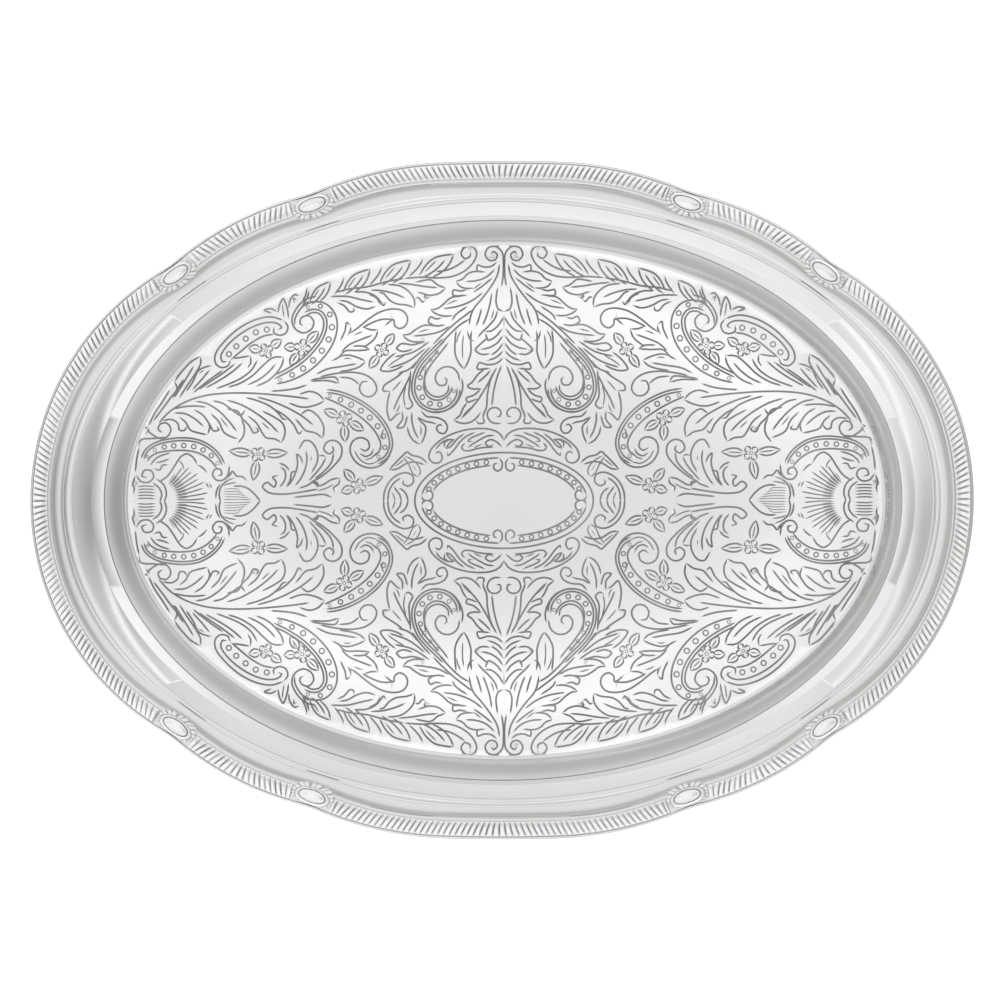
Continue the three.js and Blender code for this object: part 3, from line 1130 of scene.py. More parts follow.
    def border_leaves(self) -> None:
        """The row of leaves that runs along the border from the palmette to the great scroll."""
        cut = self.engraver
        cut.line(
            (51, 112.4), (42, 113), (34, 112.6), (26, 113.4), (19.6, 116.4), (15.2, 121), (13.9, 125.4),
            (16.2, 128.4), (20, 128), (21.9, 124.8), (19.9, 122.3), (17.3, 123.5), (17.2, 126),
        )
        cut.line((19.6, 121.8), (24.6, 118.4), (29.6, 116.4), (34.6, 115.8))
        cut.line((51, 112.4), (60, 110.8), (70, 108.2), (79, 107.2), (86, 105.4))
        for tip_x, size in ((25.6, 1.0), (47.6, 0.95), (68.4, 0.88), (88.6, 0.74)):
            self.border_leaf(tip_x, size)
        cut.line((100.6, 108), (101.2, 104.4), (103.4, 100.6))
        cut.line((104.4, 103.8), (107, 104.4), (109.4, 101.4), (110, 97.6))
        cut.vein((105.6, 101.4), (107.4, 102.6), (107, 99.8))
        cut.line((110, 92.2), (110.8, 97.6), (112.8, 102.4), (114.8, 99), (115.4, 95.4))
        cut.vein((112.2, 92.6), (113, 97), (113.2, 100))
        cut.line((115.6, 95.6), (119, 97.4), (122.4, 96.6), (118.6, 95))

    def border_leaf(self, tip_x: float, size: float) -> None:
        """Cuts one leaf with its point at the border.

        Args:
            tip_x: How far along the floor its point is.
            size: Its size, as a share of the largest.
        """
        x, y = self.half_length - 3.2, self.half_width - 3.2
        height = y * math.sqrt(1 - (tip_x / x) ** 2)
        along = Vector((1.0, -(y * tip_x) / (x * x * math.sqrt(1 - (tip_x / x) ** 2)))).normalized()
        inward = Vector((along.y, -along.x))

        def spot(forward: float, down: float) -> Point:
            """A place from the leaf's point, along the border and inwards."""
            place = Vector((tip_x, height)) + (along * forward + inward * down) * size
            return place.x, place.y

        cut = self.engraver
        cut.line(spot(0, 0), spot(5, 0.1), spot(10, 0.9), spot(14.5, 4), spot(18.5, 9))
        cut.line(spot(0, 0), spot(2.6, 4.6), spot(6.6, 8.2), spot(12, 10.6))
        cut.line(spot(4.6, 2.4), spot(8.6, 6), spot(13.6, 9), spot(18, 10.6))
        cut.vein(spot(9, 2.2), spot(12, 4.6), spot(15.4, 7.6))
        cut.line(spot(16, 0.8), spot(17.4, 3.4), spot(20.6, 6.6), spot(24, 9.2))

    def round_scroll(self) -> None:
        """The beaded scroll that turns round below the palmette."""
        cut = self.engraver
        path = [
            (29.5, 55.5), (27.4, 58.6), (25.6, 61), (25, 57.4), (26.4, 52.8), (30.2, 49.4), (35.4, 48.4),
            (40.2, 50.6), (43, 55.2), (43, 60.8), (41.2, 66.2), (37.4, 71.4), (33, 76.2), (29, 80.6),
        ]
        cut.beaded_band(list(reversed(path[3:])), (1.6, 3.1), pitch=5.2, bead=1.2)
        cut.line(
            (40, 66.4), (40.6, 60.6), (39.4, 55.6), (35.6, 52.6), (31.4, 52.8), (28.4, 55.6),
            (28.4, 58.8),
        )
        cut.line((21.6, 62), (21, 57.6), (22.4, 52.4), (26, 47.6), (31.4, 45), (37, 44.8))
        cut.line(
            (22.6, 60), (23.6, 64.6), (26.8, 67.4), (31, 67.4), (34.2, 64.8), (35, 61), (33, 58.3),
            (30, 58.6), (29.2, 61), (30.6, 62.6),
        )
        cut.line((47.6, 66), (48, 60), (48.4, 52.6), (46.6, 48.4), (48.8, 46.4), (51, 47.4))
        cut.vein((50.4, 47.2), (51.2, 53), (49.8, 58.6))
        cut.line((47.2, 64.4), (51, 57), (54.4, 50.6), (56.4, 45.8))
        cut.line((50.6, 66), (54.6, 62.6), (58.4, 60.2), (61.4, 58), (61.6, 55.6), (58.2, 55.4))
        cut.line((58.2, 55.4), (59.4, 50), (59.6, 44.8), (58, 40.6), (55, 43.4), (52.6, 44.6))
        cut.vein((52.2, 60.8), (55, 57.8), (57.2, 55.2))
        cut.vein((53.2, 49), (54, 46), (55.2, 44.4))
        cut.line((52, 45.4), (51.8, 41), (54.6, 37), (51.6, 37), (50, 40), (49.4, 43))
        cut.line((47, 45), (47, 40.4), (45.6, 35), (43.6, 31.4))
        cut.line((49.4, 37.6), (48.4, 33.6), (45.8, 30), (42.4, 28.4))
        cut.line((42.4, 28.4), (40.4, 33), (40, 37.4), (42, 39.6), (44.2, 42))
        cut.vein((42.6, 38), (42.2, 35), (42.6, 33))
        cut.line((44, 42.4), (40.4, 40.2), (36.4, 39.4), (34.4, 38.6))
        cut.line(
            (42.4, 45.6), (39.6, 42.6), (34.4, 42), (30.4, 40.2), (28.8, 36.8), (30.4, 34), (33.2, 34.4),
            (34.4, 36.8), (32.8, 38.4), (31.2, 37.6),
        )

    def great_scroll(self) -> None:
        """The large beaded scroll that curls round under the border."""
        cut = self.engraver
        path = [
            (117, 60.5), (110, 63), (102, 67.4), (95.6, 73), (90.6, 79.6), (88, 86.6), (88.4, 93.2),
            (92.4, 98), (98, 98.8), (102.8, 96.6),
        ]
        cut.beaded_band(list(reversed(path)), (2.4, 3.4), pitch=6.3, bead=1.35, double=1.6)
        cut.line(
            (95.8, 103.6), (101.4, 102), (106.2, 97.2), (108.4, 91.4), (106.6, 87), (102.4, 85), (98.2, 87),
            (97.2, 91), (100, 93.8), (103.6, 92.6), (104.2, 89.9), (102.4, 88.6),
        )
        cut.line((99.4, 101.4), (104.2, 97), (107, 91.4), (106.8, 88.4))
        cut.line(
            (61, 88.4), (56.4, 91.6), (55.8, 88.6), (53.2, 87), (50, 88.8), (49.2, 92.6), (51.6, 96),
            (56.6, 97), (63, 95.6), (69, 92), (75, 87.2), (78.6, 84.8),
        )
        cut.line((56.2, 91.6), (62, 91.8), (67, 90.2), (72.4, 87.4))
        cut.line((78.2, 88.6), (80.4, 90.2), (81, 86.6), (83.6, 80.8))
        cut.line((78.2, 88.6), (78.4, 86), (80, 83.6))

    def comma_scroll(self) -> None:
        """The beaded scroll with a drawn-out tail, next to the great one."""
        cut = self.engraver
        cut.line(
            (112.6, 91.4), (119, 93.2), (127, 91.8), (135.6, 87.4), (143, 80.8), (147.4, 74.8), (147.6, 70),
            (144.6, 67.6), (141, 68.6), (139.8, 71.4),
        )
        cut.line(
            (115.6, 86.6), (113.6, 87.8), (115.8, 89.9), (121, 90.4), (128, 88.4), (135.6, 84),
            (141.8, 78.4), (144.8, 73.4), (143.8, 70.6), (141.4, 70.8),
        )
        cut.line((112.6, 91.4), (110.4, 88.4), (111.4, 85), (114.6, 83.8), (117.6, 85.2), (117.4, 88.2))
        cut.line((117.2, 84.4), (122.6, 83.6), (129, 80.2), (135, 75.4), (139.6, 71.6))
        for bead in ((121.2, 86.8), (126.8, 85.4), (132, 82.2), (136.8, 78.4), (140.6, 74.4)):
            cut.ring(bead, 1.3)

    def upper_spray(self) -> None:
        """The leaves between the comma scroll and the long stem, sweeping to the end of the floor."""
        cut = self.engraver
        cut.line((112.6, 72.8), (113.4, 69), (116.4, 64.6), (121, 60.6), (127, 58))
        cut.line((112.6, 72.8), (118, 72.6), (123.4, 68.4), (128.4, 63.6), (135, 59.6), (141, 57.6))
        cut.line((116.6, 69.4), (120.4, 65.2), (125.4, 61.4), (131, 58.8))
        cut.line((126, 71.4), (129, 66.4), (134, 62.4), (140.4, 59.4), (147, 57))
        cut.line((129.6, 73.6), (129.4, 70), (131, 67.4))
        cut.line((129.6, 73.6), (134, 72.8), (138.4, 72.2))
        cut.line((133.6, 70), (139, 65.4), (145.4, 61.2), (152.4, 57.4))
        cut.line((137.4, 69.6), (143.4, 65), (149.4, 61), (156, 56.6))
        cut.line((143.4, 66.4), (149, 62.6), (154.6, 58.4), (159, 54.8))
        cut.line((149.4, 68.6), (152.6, 68), (156.4, 66), (158.8, 61), (162.4, 55.6))
        cut.line((150.4, 66.6), (154.4, 61.8), (159.4, 56.4))
        cut.vein((153, 66.6), (156.4, 64.4))
        cut.line((155.4, 73.4), (155, 70), (158, 64.4), (162, 58.6), (166, 52.4))
        cut.line((155.4, 73.4), (160, 70.6), (164.6, 65.8), (168.4, 60.8))
        cut.line((158.6, 68.6), (162, 63), (166.2, 56.4), (168.6, 52.6))
        cut.line((163.6, 62), (166.6, 57.6), (169.6, 52.2))
        cut.line((168.6, 60.8), (167.2, 57), (170.4, 52.6), (175, 46.4), (179.4, 40.6))
        cut.line((170.8, 56.6), (174.6, 50.6), (178.8, 44.4), (181.8, 38.2))

    def lower_spray(self) -> None:
        """The long stem from the end of the floor, with pointed lobes under it."""
        cut = self.engraver
        cut.line(
            (99.4, 51.6), (108, 52.8), (118, 53.8), (130, 54.6), (142, 54.6), (153, 53.4), (163, 50.2),
            (171, 45.4), (176.6, 39.6),
        )
        cut.line((91.6, 50.6), (94.8, 54), (99.2, 55.4), (104.4, 54))
        cut.line((91.6, 50.6), (96.4, 48.4), (103, 47.4), (110, 49.6))
        cut.line((100.4, 58.8), (106, 57), (112.6, 56), (119, 55.6))
        cut.line((92.6, 31.6), (92, 37), (94.8, 42.6), (100, 46), (104, 43.6))
        cut.line((92.6, 31.6), (96.4, 34.4), (101.4, 35.6), (104, 38.6), (106.6, 41.6))
        cut.line((97.2, 38.2), (103, 42.8), (110.4, 47), (118.4, 50.4), (126, 52.6))
        cut.line((102.8, 35.8), (104.8, 34), (107.4, 38.6), (112.6, 43.6), (117.4, 46.4))
        cut.line((110.6, 41), (113, 41.6), (114.6, 43.6), (119, 47.6), (126, 50.8), (132, 52.4))
        cut.line((113.6, 29.4), (111.8, 34.4), (113, 39.2), (117, 42.2), (123.6, 45.6))
        cut.line((113.6, 29.4), (117, 31.4), (121.6, 32), (124.2, 35.6), (126.4, 39.4), (131, 43.2))
        cut.line((115.2, 34.4), (119.4, 38.8), (126, 44), (134.4, 48.8), (142, 51.2))
        cut.vein((119.6, 36), (122.2, 38.4), (124, 40))
        cut.line((127, 37.6), (125.6, 35.4), (128, 34.4), (130, 38), (134, 42), (136, 45.4), (141.6, 46.6))
        cut.line((132.2, 46.2), (134.6, 43.4), (138, 45.4), (144, 49.6), (149, 50.8))
        cut.line((136.2, 29), (133, 33.4), (132.8, 38), (134.4, 41.6))
        cut.line((136, 31.4), (140, 32.8), (143.4, 35), (145.6, 40), (150, 44.4))
        cut.line((136.4, 35), (140.6, 40.4), (146, 45.8), (152.4, 49.6), (158, 50.6))
        cut.vein((141, 37.4), (143.4, 40.2), (145, 42.4))
        cut.line((147, 38), (145.8, 36), (148.6, 35.6), (150.4, 38.6), (154, 43.6), (158.6, 46.4))
        cut.line((151.6, 33.6), (150.4, 37.6), (151.6, 41))
        cut.line((151.6, 33.6), (156.4, 34.6), (160.4, 36), (162.8, 40), (166, 42.6))
        cut.line((153.4, 37.6), (158, 41.6), (163.4, 44.4), (169, 44.6))
        cut.line((152, 47.6), (158, 48.2), (164, 47.8), (169.4, 46.6))
        cut.line((161.8, 38.4), (163.6, 35.8), (166, 36), (166.8, 39.4), (170, 41.4), (174.6, 40.8))
        cut.line(
            (183, 36.4), (180, 33.8), (175.4, 31.6), (171.6, 33.2), (170.4, 36.8), (172.6, 39.6), (176, 39),
            (176.8, 36.2), (174.6, 34.8),
        )
        cut.vein((183.6, 37.6), (181.6, 36.2), (183.6, 34))

    def side_scroll(self) -> None:
        """The beaded scroll beside the cartouche's end, with its large curl."""
        cut = self.engraver
        path = [
            (91.4, 53.6), (84.6, 51.6), (78, 48.6), (71.6, 44.6), (66.2, 39.8), (62.2, 34), (60.6, 28.4),
            (62.2, 23.8), (66.4, 20.8),
        ]
        cut.beaded_band(list(reversed(path)), (2.4, 3.2), pitch=5.9, bead=1.25, double=1.5)
        cut.line(
            (57.2, 26.4), (59.8, 20.6), (65, 17), (71, 17), (76, 20), (78.6, 25.4), (77.2, 30.2), (73, 32),
            (69.4, 30.2), (68.8, 26.8), (71, 25.2), (73.6, 26.6),
        )
        cut.vein((64.6, 19.6), (69.6, 18.6), (74, 21.4), (76.4, 25.6))
        cut.line((66.4, 26.4), (68, 23.4), (71, 22.4), (73.6, 24))
        cut.vein((65, 24.6), (67.4, 21.8), (71, 20.6))
        cut.vein((61.4, 30.6), (62.4, 33.8), (61, 36.6))
        cut.line(
            (94, 62.8), (86, 64.4), (77.6, 65), (70.6, 63.6), (66, 60), (65, 55.8), (67.6, 52.8),
            (71.6, 53.2), (73.8, 56.4), (72.4, 60), (69.4, 60.4),
        )
        cut.line((73.6, 58.6), (78, 61.8), (84.6, 62.6))
        cut.line((84.2, 59.4), (86, 62.4), (92, 62.2), (99, 61.2))
        cut.line((84.2, 59.4), (90, 60.8), (98.8, 60.6))

    def long_leaves(self) -> None:
        """The long leaves that cross from the palmette to the great scroll."""
        cut = self.engraver
        cut.line((29.6, 107.6), (33.6, 108.8), (37.2, 111.6), (41.6, 111.2), (45.4, 110.4))
        cut.line((29.6, 107.6), (33, 104.8), (38, 103.8), (42, 104.9), (44.4, 105.6))
        cut.line((33.6, 107.6), (40, 108.2), (47.6, 109.4), (54, 110))
        cut.line((40, 101.4), (41.6, 100.4), (43.6, 102.6), (45.4, 102.4))
        cut.line((40, 101.4), (40.6, 103.4), (38.8, 104.4))
        cut.line((45.6, 97.4), (45.8, 101.8), (48.4, 105.6), (53, 108.6), (59.4, 109.4))
        cut.line((45.6, 97.4), (49.4, 98.9), (55, 99.6), (58.8, 101.8), (61.4, 104.8), (64, 105.4))
        cut.line((50.4, 102.4), (55.6, 104.6), (62, 106.2), (68, 106.6))
        cut.line((60, 100.4), (61.6, 98.8), (63.8, 101.8), (66.4, 104), (71, 105.6), (76.4, 105.6))
        cut.vein((63, 98.6), (65, 102.4), (69, 104.4))
        cut.line((65.4, 98.4), (70, 97), (75.6, 98.4), (80, 100.8), (84.4, 101.4))
        cut.line((66.4, 100.4), (73, 101.8), (80, 103.4), (88.6, 103.4))
        cut.line((76.6, 98.4), (76.8, 96), (78.8, 95.6), (81.4, 98.6), (85.4, 100.4))
        cut.line((64.2, 86.6), (65.6, 82.6), (68.6, 79.6), (72, 77.6))
        cut.line((64.2, 86.6), (67.6, 86.4), (71.8, 87.8))
        cut.line((67, 83.8), (73, 81.6), (79, 79), (83, 75.4))
        cut.vein((71.6, 85.6), (74.6, 84.8), (76.6, 83.6))
        cut.line((68.4, 76.4), (71.6, 78.2), (77.4, 78.2))
        cut.line((68.4, 76.4), (74.4, 76), (81.2, 75.8), (84.4, 72.6), (88, 70.8))
        cut.line((70.6, 70.6), (75, 72.6), (80.4, 73.8), (84, 72.8))
        cut.line((70.6, 70.6), (73.4, 68), (77.8, 66.4), (84, 65.4))
        cut.line((75, 69.4), (82.6, 68), (90, 66.8), (96, 64))
        cut.vein((77.6, 71.6), (80, 72.2), (82, 71.6))
        for start, tip in (((38, 80.4), (56, 72.6)), ((40, 77), (58.6, 67)), ((43.4, 71.6), (54, 64.4))):
            middle = ((start[0] + tip[0]) / 2 - 0.6, (start[1] + tip[1]) / 2 - 1.4)
            cut.line(start, middle, tip)
        cut.line((40.4, 80.6), (46.4, 78.8), (52.4, 79.4), (54.8, 77), (51.6, 75.4), (46.6, 76.6))
        cut.line((55, 75), (59.4, 71.6), (63, 66.2), (59, 65.4), (54.6, 66.6), (51.2, 68.4))
        cut.vein((50.4, 73.6), (55.6, 70.6), (59.4, 67.8))
        cut.line((33, 76.6), (37, 72), (41, 67.4), (43.6, 63))
        cut.line((37.4, 78), (42.4, 72.6), (46.8, 66.6))

    def lily(self) -> None:
        """The curled spray on the long axis, between the cartouche and the end shell."""
        cut = self.engraver
        cut.line(
            (99.4, 9), (93.4, 12.2), (87, 17.6), (83, 23), (83.2, 28), (86.6, 30.6), (90.6, 29.6), (92, 26),
            (89.4, 23.8), (87, 25.4), (87.8, 28),
        )
        cut.line((87, 24.6), (88, 19.6), (92, 14.8), (96.6, 11.2))
        cut.line((90.8, 22.2), (93.2, 17.6), (97, 13), (99.6, 10.2))
        cut.line((90.8, 22.2), (92.6, 23), (95, 22.6))
        cut.line((98.4, 14), (95.4, 19.6), (95.4, 25), (98.6, 30), (102, 30.4), (104.8, 26))
        cut.vein((98.4, 23), (98.6, 20))
        cut.line((101.2, 25.6), (100.6, 21), (101.8, 15.4), (104.4, 10.4), (106.6, 7.8))
        cut.line((102.8, 18.6), (103.8, 22), (105.8, 23.6), (105.4, 18.8), (107.4, 12), (110.6, 7.2))
        cut.line((105.4, 15), (108.4, 14.4), (109.2, 10.4), (111.4, 6.8))
        cut.line((109.4, 15), (111.6, 17.8), (115, 19.2))
        cut.line((114.4, 17.4), (111.8, 15), (112, 10.4), (114.6, 7))
        cut.line(
            (94.8, 6), (104, 4.4), (113, 3.4), (120.6, 4.4), (123.4, 7.4), (121, 9.4), (117.4, 7),
            (116.4, 9.6), (118.2, 12), (115.4, 13),
        )
        cut.line((83.8, 11.6), (84.4, 8.6), (87, 6.6), (86.4, 4))
        cut.line((83.8, 11.6), (88, 10.8), (91.6, 8.6), (94.4, 7.6), (98, 9.4), (99.6, 8.2), (104.6, 6.4))
        cut.vein((86.6, 8.6), (90.6, 6.4), (95.6, 5))
        cut.line((87.8, 1.6), (91.6, 3.2), (99.4, 2.6), (107.6, 1.8))
        cut.line((95.6, 6.2), (95.2, 9), (97.6, 9.8))

    def blossoms(self) -> None:
        """The small flowers in the gaps, each with its leaves."""
        cut = self.engraver
        flowers = (
            ((81.6, 41.6), 3.4, 70, ((92.2, 46.2), (71.4, 35.4), (81.2, 29.6))),
            ((74.4, 7.4), 3.3, 20, ((81.8, 16.2), (61.6, 12.2), (83.2, 4.4))),
            ((125.6, 23.6), 3.3, 40, ((110.4, 24.4), (140.8, 25.4), (128.2, 10.2))),
            ((103, 77.6), 3.6, 10, ((94.6, 86), (112.6, 78), (109.4, 68.6))),
            ((121.6, 76), 3.2, 60, ((113.6, 81.8), (130.6, 77.6))),
            ((62.4, 76.2), 3.2, 30, ((56, 84.6), (68.8, 66.8))),
        )
        for center, radius, lean, tips in flowers:
            cut.blossom(center, radius, lean)
            for tip in tips:
                run = Vector(tip) - Vector(center)
                base = Vector(center) + run.normalized() * radius * 0.9
                cut.leaf((base.x, base.y), tip, 2.1, 2.1)

    def end_shell(self) -> None:
        """The shell at each end of the floor, under its beaded scroll."""
        cut = self.engraver
        path = [
            (183.4, 20.6), (181.4, 24), (177, 26.6), (171, 27.8), (164, 28.2), (157, 27.2), (151.4, 24.4),
            (147.4, 20.6), (145.2, 17),
        ]
        cut.beaded_band(list(reversed(path)), (2.6, 2.4), pitch=5.2, bead=1.15, double=1.4)
        cut.line(
            (140.4, 18.4), (141, 13.6), (143.6, 10.6), (147, 10.6), (149, 13.4), (147.6, 16.2),
            (144.8, 15.8), (144.4, 13.4), (146.6, 12.8),
        )
        cut.line((186.6, 27.4), (186, 31), (179, 31.8), (172, 32.4))
        cut.line((186.6, 27.4), (187.8, 22), (188.6, 15))
        cut.line((170.6, 24.4), (174.6, 23.4), (178.4, 21.4), (180.8, 18.2))
        cut.line((171, 21.6), (174.4, 20.2), (178.4, 19.4))
        cut.line((171.6, 18.4), (174.6, 18.2), (176, 15.8), (179.4, 16.6))
        cut.line(
            (188.2, 13.4), (185.8, 10), (181.6, 9.6), (179.2, 12.4), (180.4, 15.4), (184, 15.6),
            (185.2, 12.8), (182.6, 11.8),
        )
        cut.line(
            (176.8, 9.6), (172.4, 12.4), (168.6, 17.6), (165.4, 22.4), (162.2, 24), (158.8, 22),
            (156.8, 18.4),
        )
        cut.line((156.8, 18.4), (154.2, 17), (151.8, 14.4))
        cut.line((150.8, 9.2), (149.4, 6.6))
        cut.vein((166.8, 21), (164.4, 18.6), (163.6, 15.8))
        fan = Vector((178.4, 0.4))
        spokes = 9
        for i in range(spokes):
            turn = math.radians(178 - i * 48 / (spokes - 1))
            reach = 27.5 - 5 * (i / spokes) ** 2 - (0.0 if i % 2 else 1.8)
            ends = [fan + Vector((math.cos(turn), math.sin(turn))) * at for at in (10.5, reach * 0.7, reach)]
            ends[1] += Vector((0.0, -0.4))
            cut.vein(*((end.x, end.y) for end in ends))
            between = turn - math.radians(3)
            ends = [fan + Vector((math.cos(between), math.sin(between))) * at for at in (11.5, 14, 17)]
            cut.hair(*((end.x, end.y) for end in ends))
        cut.line((176.4, -1), (175, 3.2), (176.6, 7), (179.8, 9.4))
        cut.line((174, -1), (172.6, 4), (174.4, 8.8), (178, 11.4))
        cut.line((188.6, 13), (190, 8), (189.2, 7.2), (189.6, 3.4))
        for row in range(5):
            height = 1.2 + row * 1.55
            cut.vein((178.2, height), (184, height + 0.3), (187.6, height))

    def end_fan(self) -> None:
        """The small fan that points at the cartouche from each end."""
        cut = self.engraver
        cut.line((124.2, -0.6), (127.4, 3.4), (131, 6.4), (134.8, 7.6), (138.6, 7.4))
        for row in range(5):
            height = 0.8 + 1.3 * row
            cut.hair((128.6 + 1.4 * row, height * 0.7), (136, height), (143.6, height))
        cut.vein((143.8, 7.6), (140.6, 8.8), (136.4, 9.4))
        cut.vein((143.4, 8.8), (140.8, 10.6), (137.6, 11.8))
        cut.hair((142.6, 10), (140.6, 12.4), (138.8, 14))
        cut.line((131.4, 10.2), (134, 12.4), (136.6, 12.6), (138.8, 15), (141, 12.4))
        cut.line((144.6, -1), (145.6, 3), (144.6, 7.4), (141.6, 10.4))
        cut.line((147.4, 1), (146.8, 5.6), (145, 8.8))
        cut.line((150.8, 6.4), (152.4, 9.4))


# ----------------------------------------------------------------------------------- the pieces


@dataclass
class Pan:
    """The pressed pan: floor, wall, flange, ridge, cove, seat and rolled lip, with an engraved floor."""

    plan: RimPlan
    stations: int = 384
    sheet: float = 0.9
    well_depth: float = 9.5
    wall_foot_slope: float = math.radians(46)
    wall_head_slope: float = math.radians(30)
    fillet_width: float = 2.4
    step_width: float = 0.6
    step_share: float = 0.58
    crease_width: float = 0.25
    line_rise: float = 0.3
    line_depth: float = 0.11
    flange_rise: float = 1.4
    ridge_height: float = 0.8
    cove_rise: float = 4.2
    cove_slope: float = 60.0
    bead_height: float = 0.4
    lip_height: float = 1.0
    lip_drop: float = 1.7
    hem: float = 3.0
    crease: float = 17.0

    @property
    def flange_low(self) -> float:
        """The height of the wall's top."""
        return self.sheet + self.well_depth

    @property
    def flange_high(self) -> float:
        """The height of the ridge's foot."""
        return self.flange_low + self.flange_rise

    @property
    def seat(self) -> float:
        """The height of the seat that the border lies on."""
        return self.flange_high + self.cove_rise

    @staticmethod
    def hollow(
        inset: float, height: float, width: float, rise: float, slope: float, steps: int
    ) -> list[Point]:
        """Draws a hollow curve that starts level.

        Args:
            inset: Where it starts.
            height: Its height there.
            width: How far it runs outwards.
            rise: How far it rises.
            slope: Its slope at its end, in degrees.
            steps: How many steps it has.

        Returns:
            Its (inset, height) points.
        """
        end = math.radians(slope)
        points = []
        for step in range(steps + 1):
            turn = end * step / steps
            across = width * math.sin(turn) / math.sin(end)
            up = rise * (1 - math.cos(turn)) / (1 - math.cos(end))
            points.append((inset - across, height + up))
        return points

    @staticmethod
    def swell(start: float, end: float, base: float, height: float, steps: int) -> list[Point]:
        """Draws a rounded rib between two insets, without its ends."""
        middle, half = (start + end) / 2, (start - end) / 2
        turns = [math.pi * step / steps for step in range(1, steps)]
        return [(middle + half * math.cos(turn), base + height * math.sin(turn)) for turn in turns]

    @staticmethod
    def other_face(points: Sequence[Point], thickness: float) -> list[Point]:
        """Moves a run of section points to the sheet's other face.

        Args:
            points: The points, from the floor outwards.
            thickness: The sheet's thickness.

        Returns:
            The moved points.
        """
        moved = []
        places = [Vector(point) for point in points]
        for i, place in enumerate(places):
            into = place - places[max(i - 1, 0)]
            out_of = places[min(i + 1, len(places) - 1)] - place
            into = into if into.length else out_of
            out_of = out_of if out_of.length else into
            normals = [Vector((-run.y, run.x)).normalized() for run in (into, out_of)]
            miter = (normals[0] + normals[1]) / (1 + normals[0].dot(normals[1]))
            spot = place + miter * thickness
            moved.append((spot.x, spot.y))
        return moved

    def wall(self, fillet_steps: int, face_steps: int) -> list[Point]:
        """Draws the wall: a fillet from the floor, a slightly bulged face and a steep step at its top.

        Args:
            fillet_steps: How many steps the fillet has.
            face_steps: How many the face has.

        Returns:
            Its (inset, height) points, from the floor outwards.
        """
        plan = self.plan
        foot_slope = math.tan(self.wall_foot_slope)
        rise = self.fillet_width * math.tan(self.wall_foot_slope / 2)
        slope = math.degrees(self.wall_foot_slope)
        points = self.hollow(plan.floor, self.sheet, self.fillet_width, rise, slope, fillet_steps)
        start, base = points[-1]
        width = start - plan.wall - self.step_width
        easing = math.tan(self.wall_head_slope) - foot_slope
        for step in range(1, face_steps + 1):
            share = step / face_steps
            climb = foot_slope * share + easing * share**2 / 2
            points.append((start - width * share, base + width * climb))
        height = points[-1][1]
        rise = self.flange_low - height
        points.append((plan.wall + self.crease_width, height + rise * self.step_share))
        points.append((plan.wall, self.flange_low))
        return points

    def top_face(self) -> list[Point]:
        """The section's upper side, from the floor outwards to the lip's foot."""
        plan = self.plan
        wall = self.wall(6, 12)
        line_height = self.flange_low + self.line_rise
        flange = [
            (plan.line + self.line_depth, line_height - self.line_depth), (plan.line, line_height),
            (plan.flange, self.flange_high),
        ]
        ridge = self.swell(plan.flange, plan.ridge, self.flange_high, self.ridge_height, 11)
        width = plan.ridge - plan.cove
        cove = self.hollow(plan.ridge, self.flange_high, width, self.cove_rise, self.cove_slope, 10)
        bead = self.swell(plan.cove, plan.bead, self.seat, self.bead_height, 9)
        return [*wall, *flange, *ridge, *cove, *bead, (plan.bead, self.seat)]

    def lip(self) -> list[Point]:
        """The rolled lip, from its foot on the seat over the top to the hem underneath."""
        half = self.plan.lip / 2
        middle = self.seat + (self.lip_height - self.lip_drop) / 2
        tall = (self.lip_height + self.lip_drop) / 2
        turns = [math.radians(turn) for turn in range(15, 271, 15)]
        roll = [(half + half * math.cos(turn), middle + tall * math.sin(turn)) for turn in turns]
        return [*roll, (self.hem, self.seat - self.lip_drop)]

    def under_face(self) -> list[Point]:
        """The section's lower side, from the hem inwards to the middle."""
        plan = self.plan
        wall = self.wall(3, 4)
        width = plan.ridge - plan.cove
        cove = self.hollow(plan.ridge, self.flange_high, width, self.cove_rise, self.cove_slope, 5)
        crest = ((plan.flange + plan.ridge) / 2, self.flange_high + self.ridge_height)
        formed = [*wall, (plan.flange, self.flange_high), crest, *cove, (self.hem, self.seat)]
        return [*reversed(self.other_face(formed, self.sheet)), (self.plan.half_width, 0.0)]

    def build(
        self, ornament: Engraver, plate: bpy.types.Material, cut: bpy.types.Material
    ) -> bpy.types.Object:
        """Spins the section round, bends it to the plan and lets the engraved floor into it.

        Args:
            ornament: The floor's engraving.
            plate: The finish of the sheet.
            cut: The finish inside the engraver's cuts, its darker colour painted shade.

        Returns:
            The pan.
        """
        section = [*self.top_face(), *self.lip(), *self.under_face()]
        start_clean()
        bpy.ops.mesh.primitive_plane_add(size=MM)
        pan = bpy.context.object
        pan.name = pan.data.name = "pan"
        edit(pan)
        bpy.ops.mesh.merge(type="CENTER")
        half = self.plan.half_width
        spots = [Vector(((half - inset) * MM, 0.0, height * MM)) for inset, height in section]
        bpy.ops.transform.translate(value=spots[0])
        for before, after in zip(spots, spots[1:]):
            bpy.ops.mesh.extrude_region_move(TRANSFORM_OT_translate={"value": after - before})
        bpy.ops.mesh.select_all(action="SELECT")
        bpy.ops.mesh.spin(
            steps=self.stations, angle=math.tau, center=(0, 0, 0), axis=(0, 0, 1), use_auto_merge=True
        )
        leave()
        pan.data.materials.append(plate)
        pan.data.materials.append(cut)
        self.paint_crease_shade(pan)
        self.bend_to_plan(pan)
        floor = self.engraved_floor(ornament, plate, cut)
        start_clean()
        floor.select_set(True)
        pan.select_set(True)
        bpy.context.view_layer.objects.active = pan
        bpy.ops.object.join()
        close_up(pan, fill=False)
        smooth(pan, self.crease)
        return pan

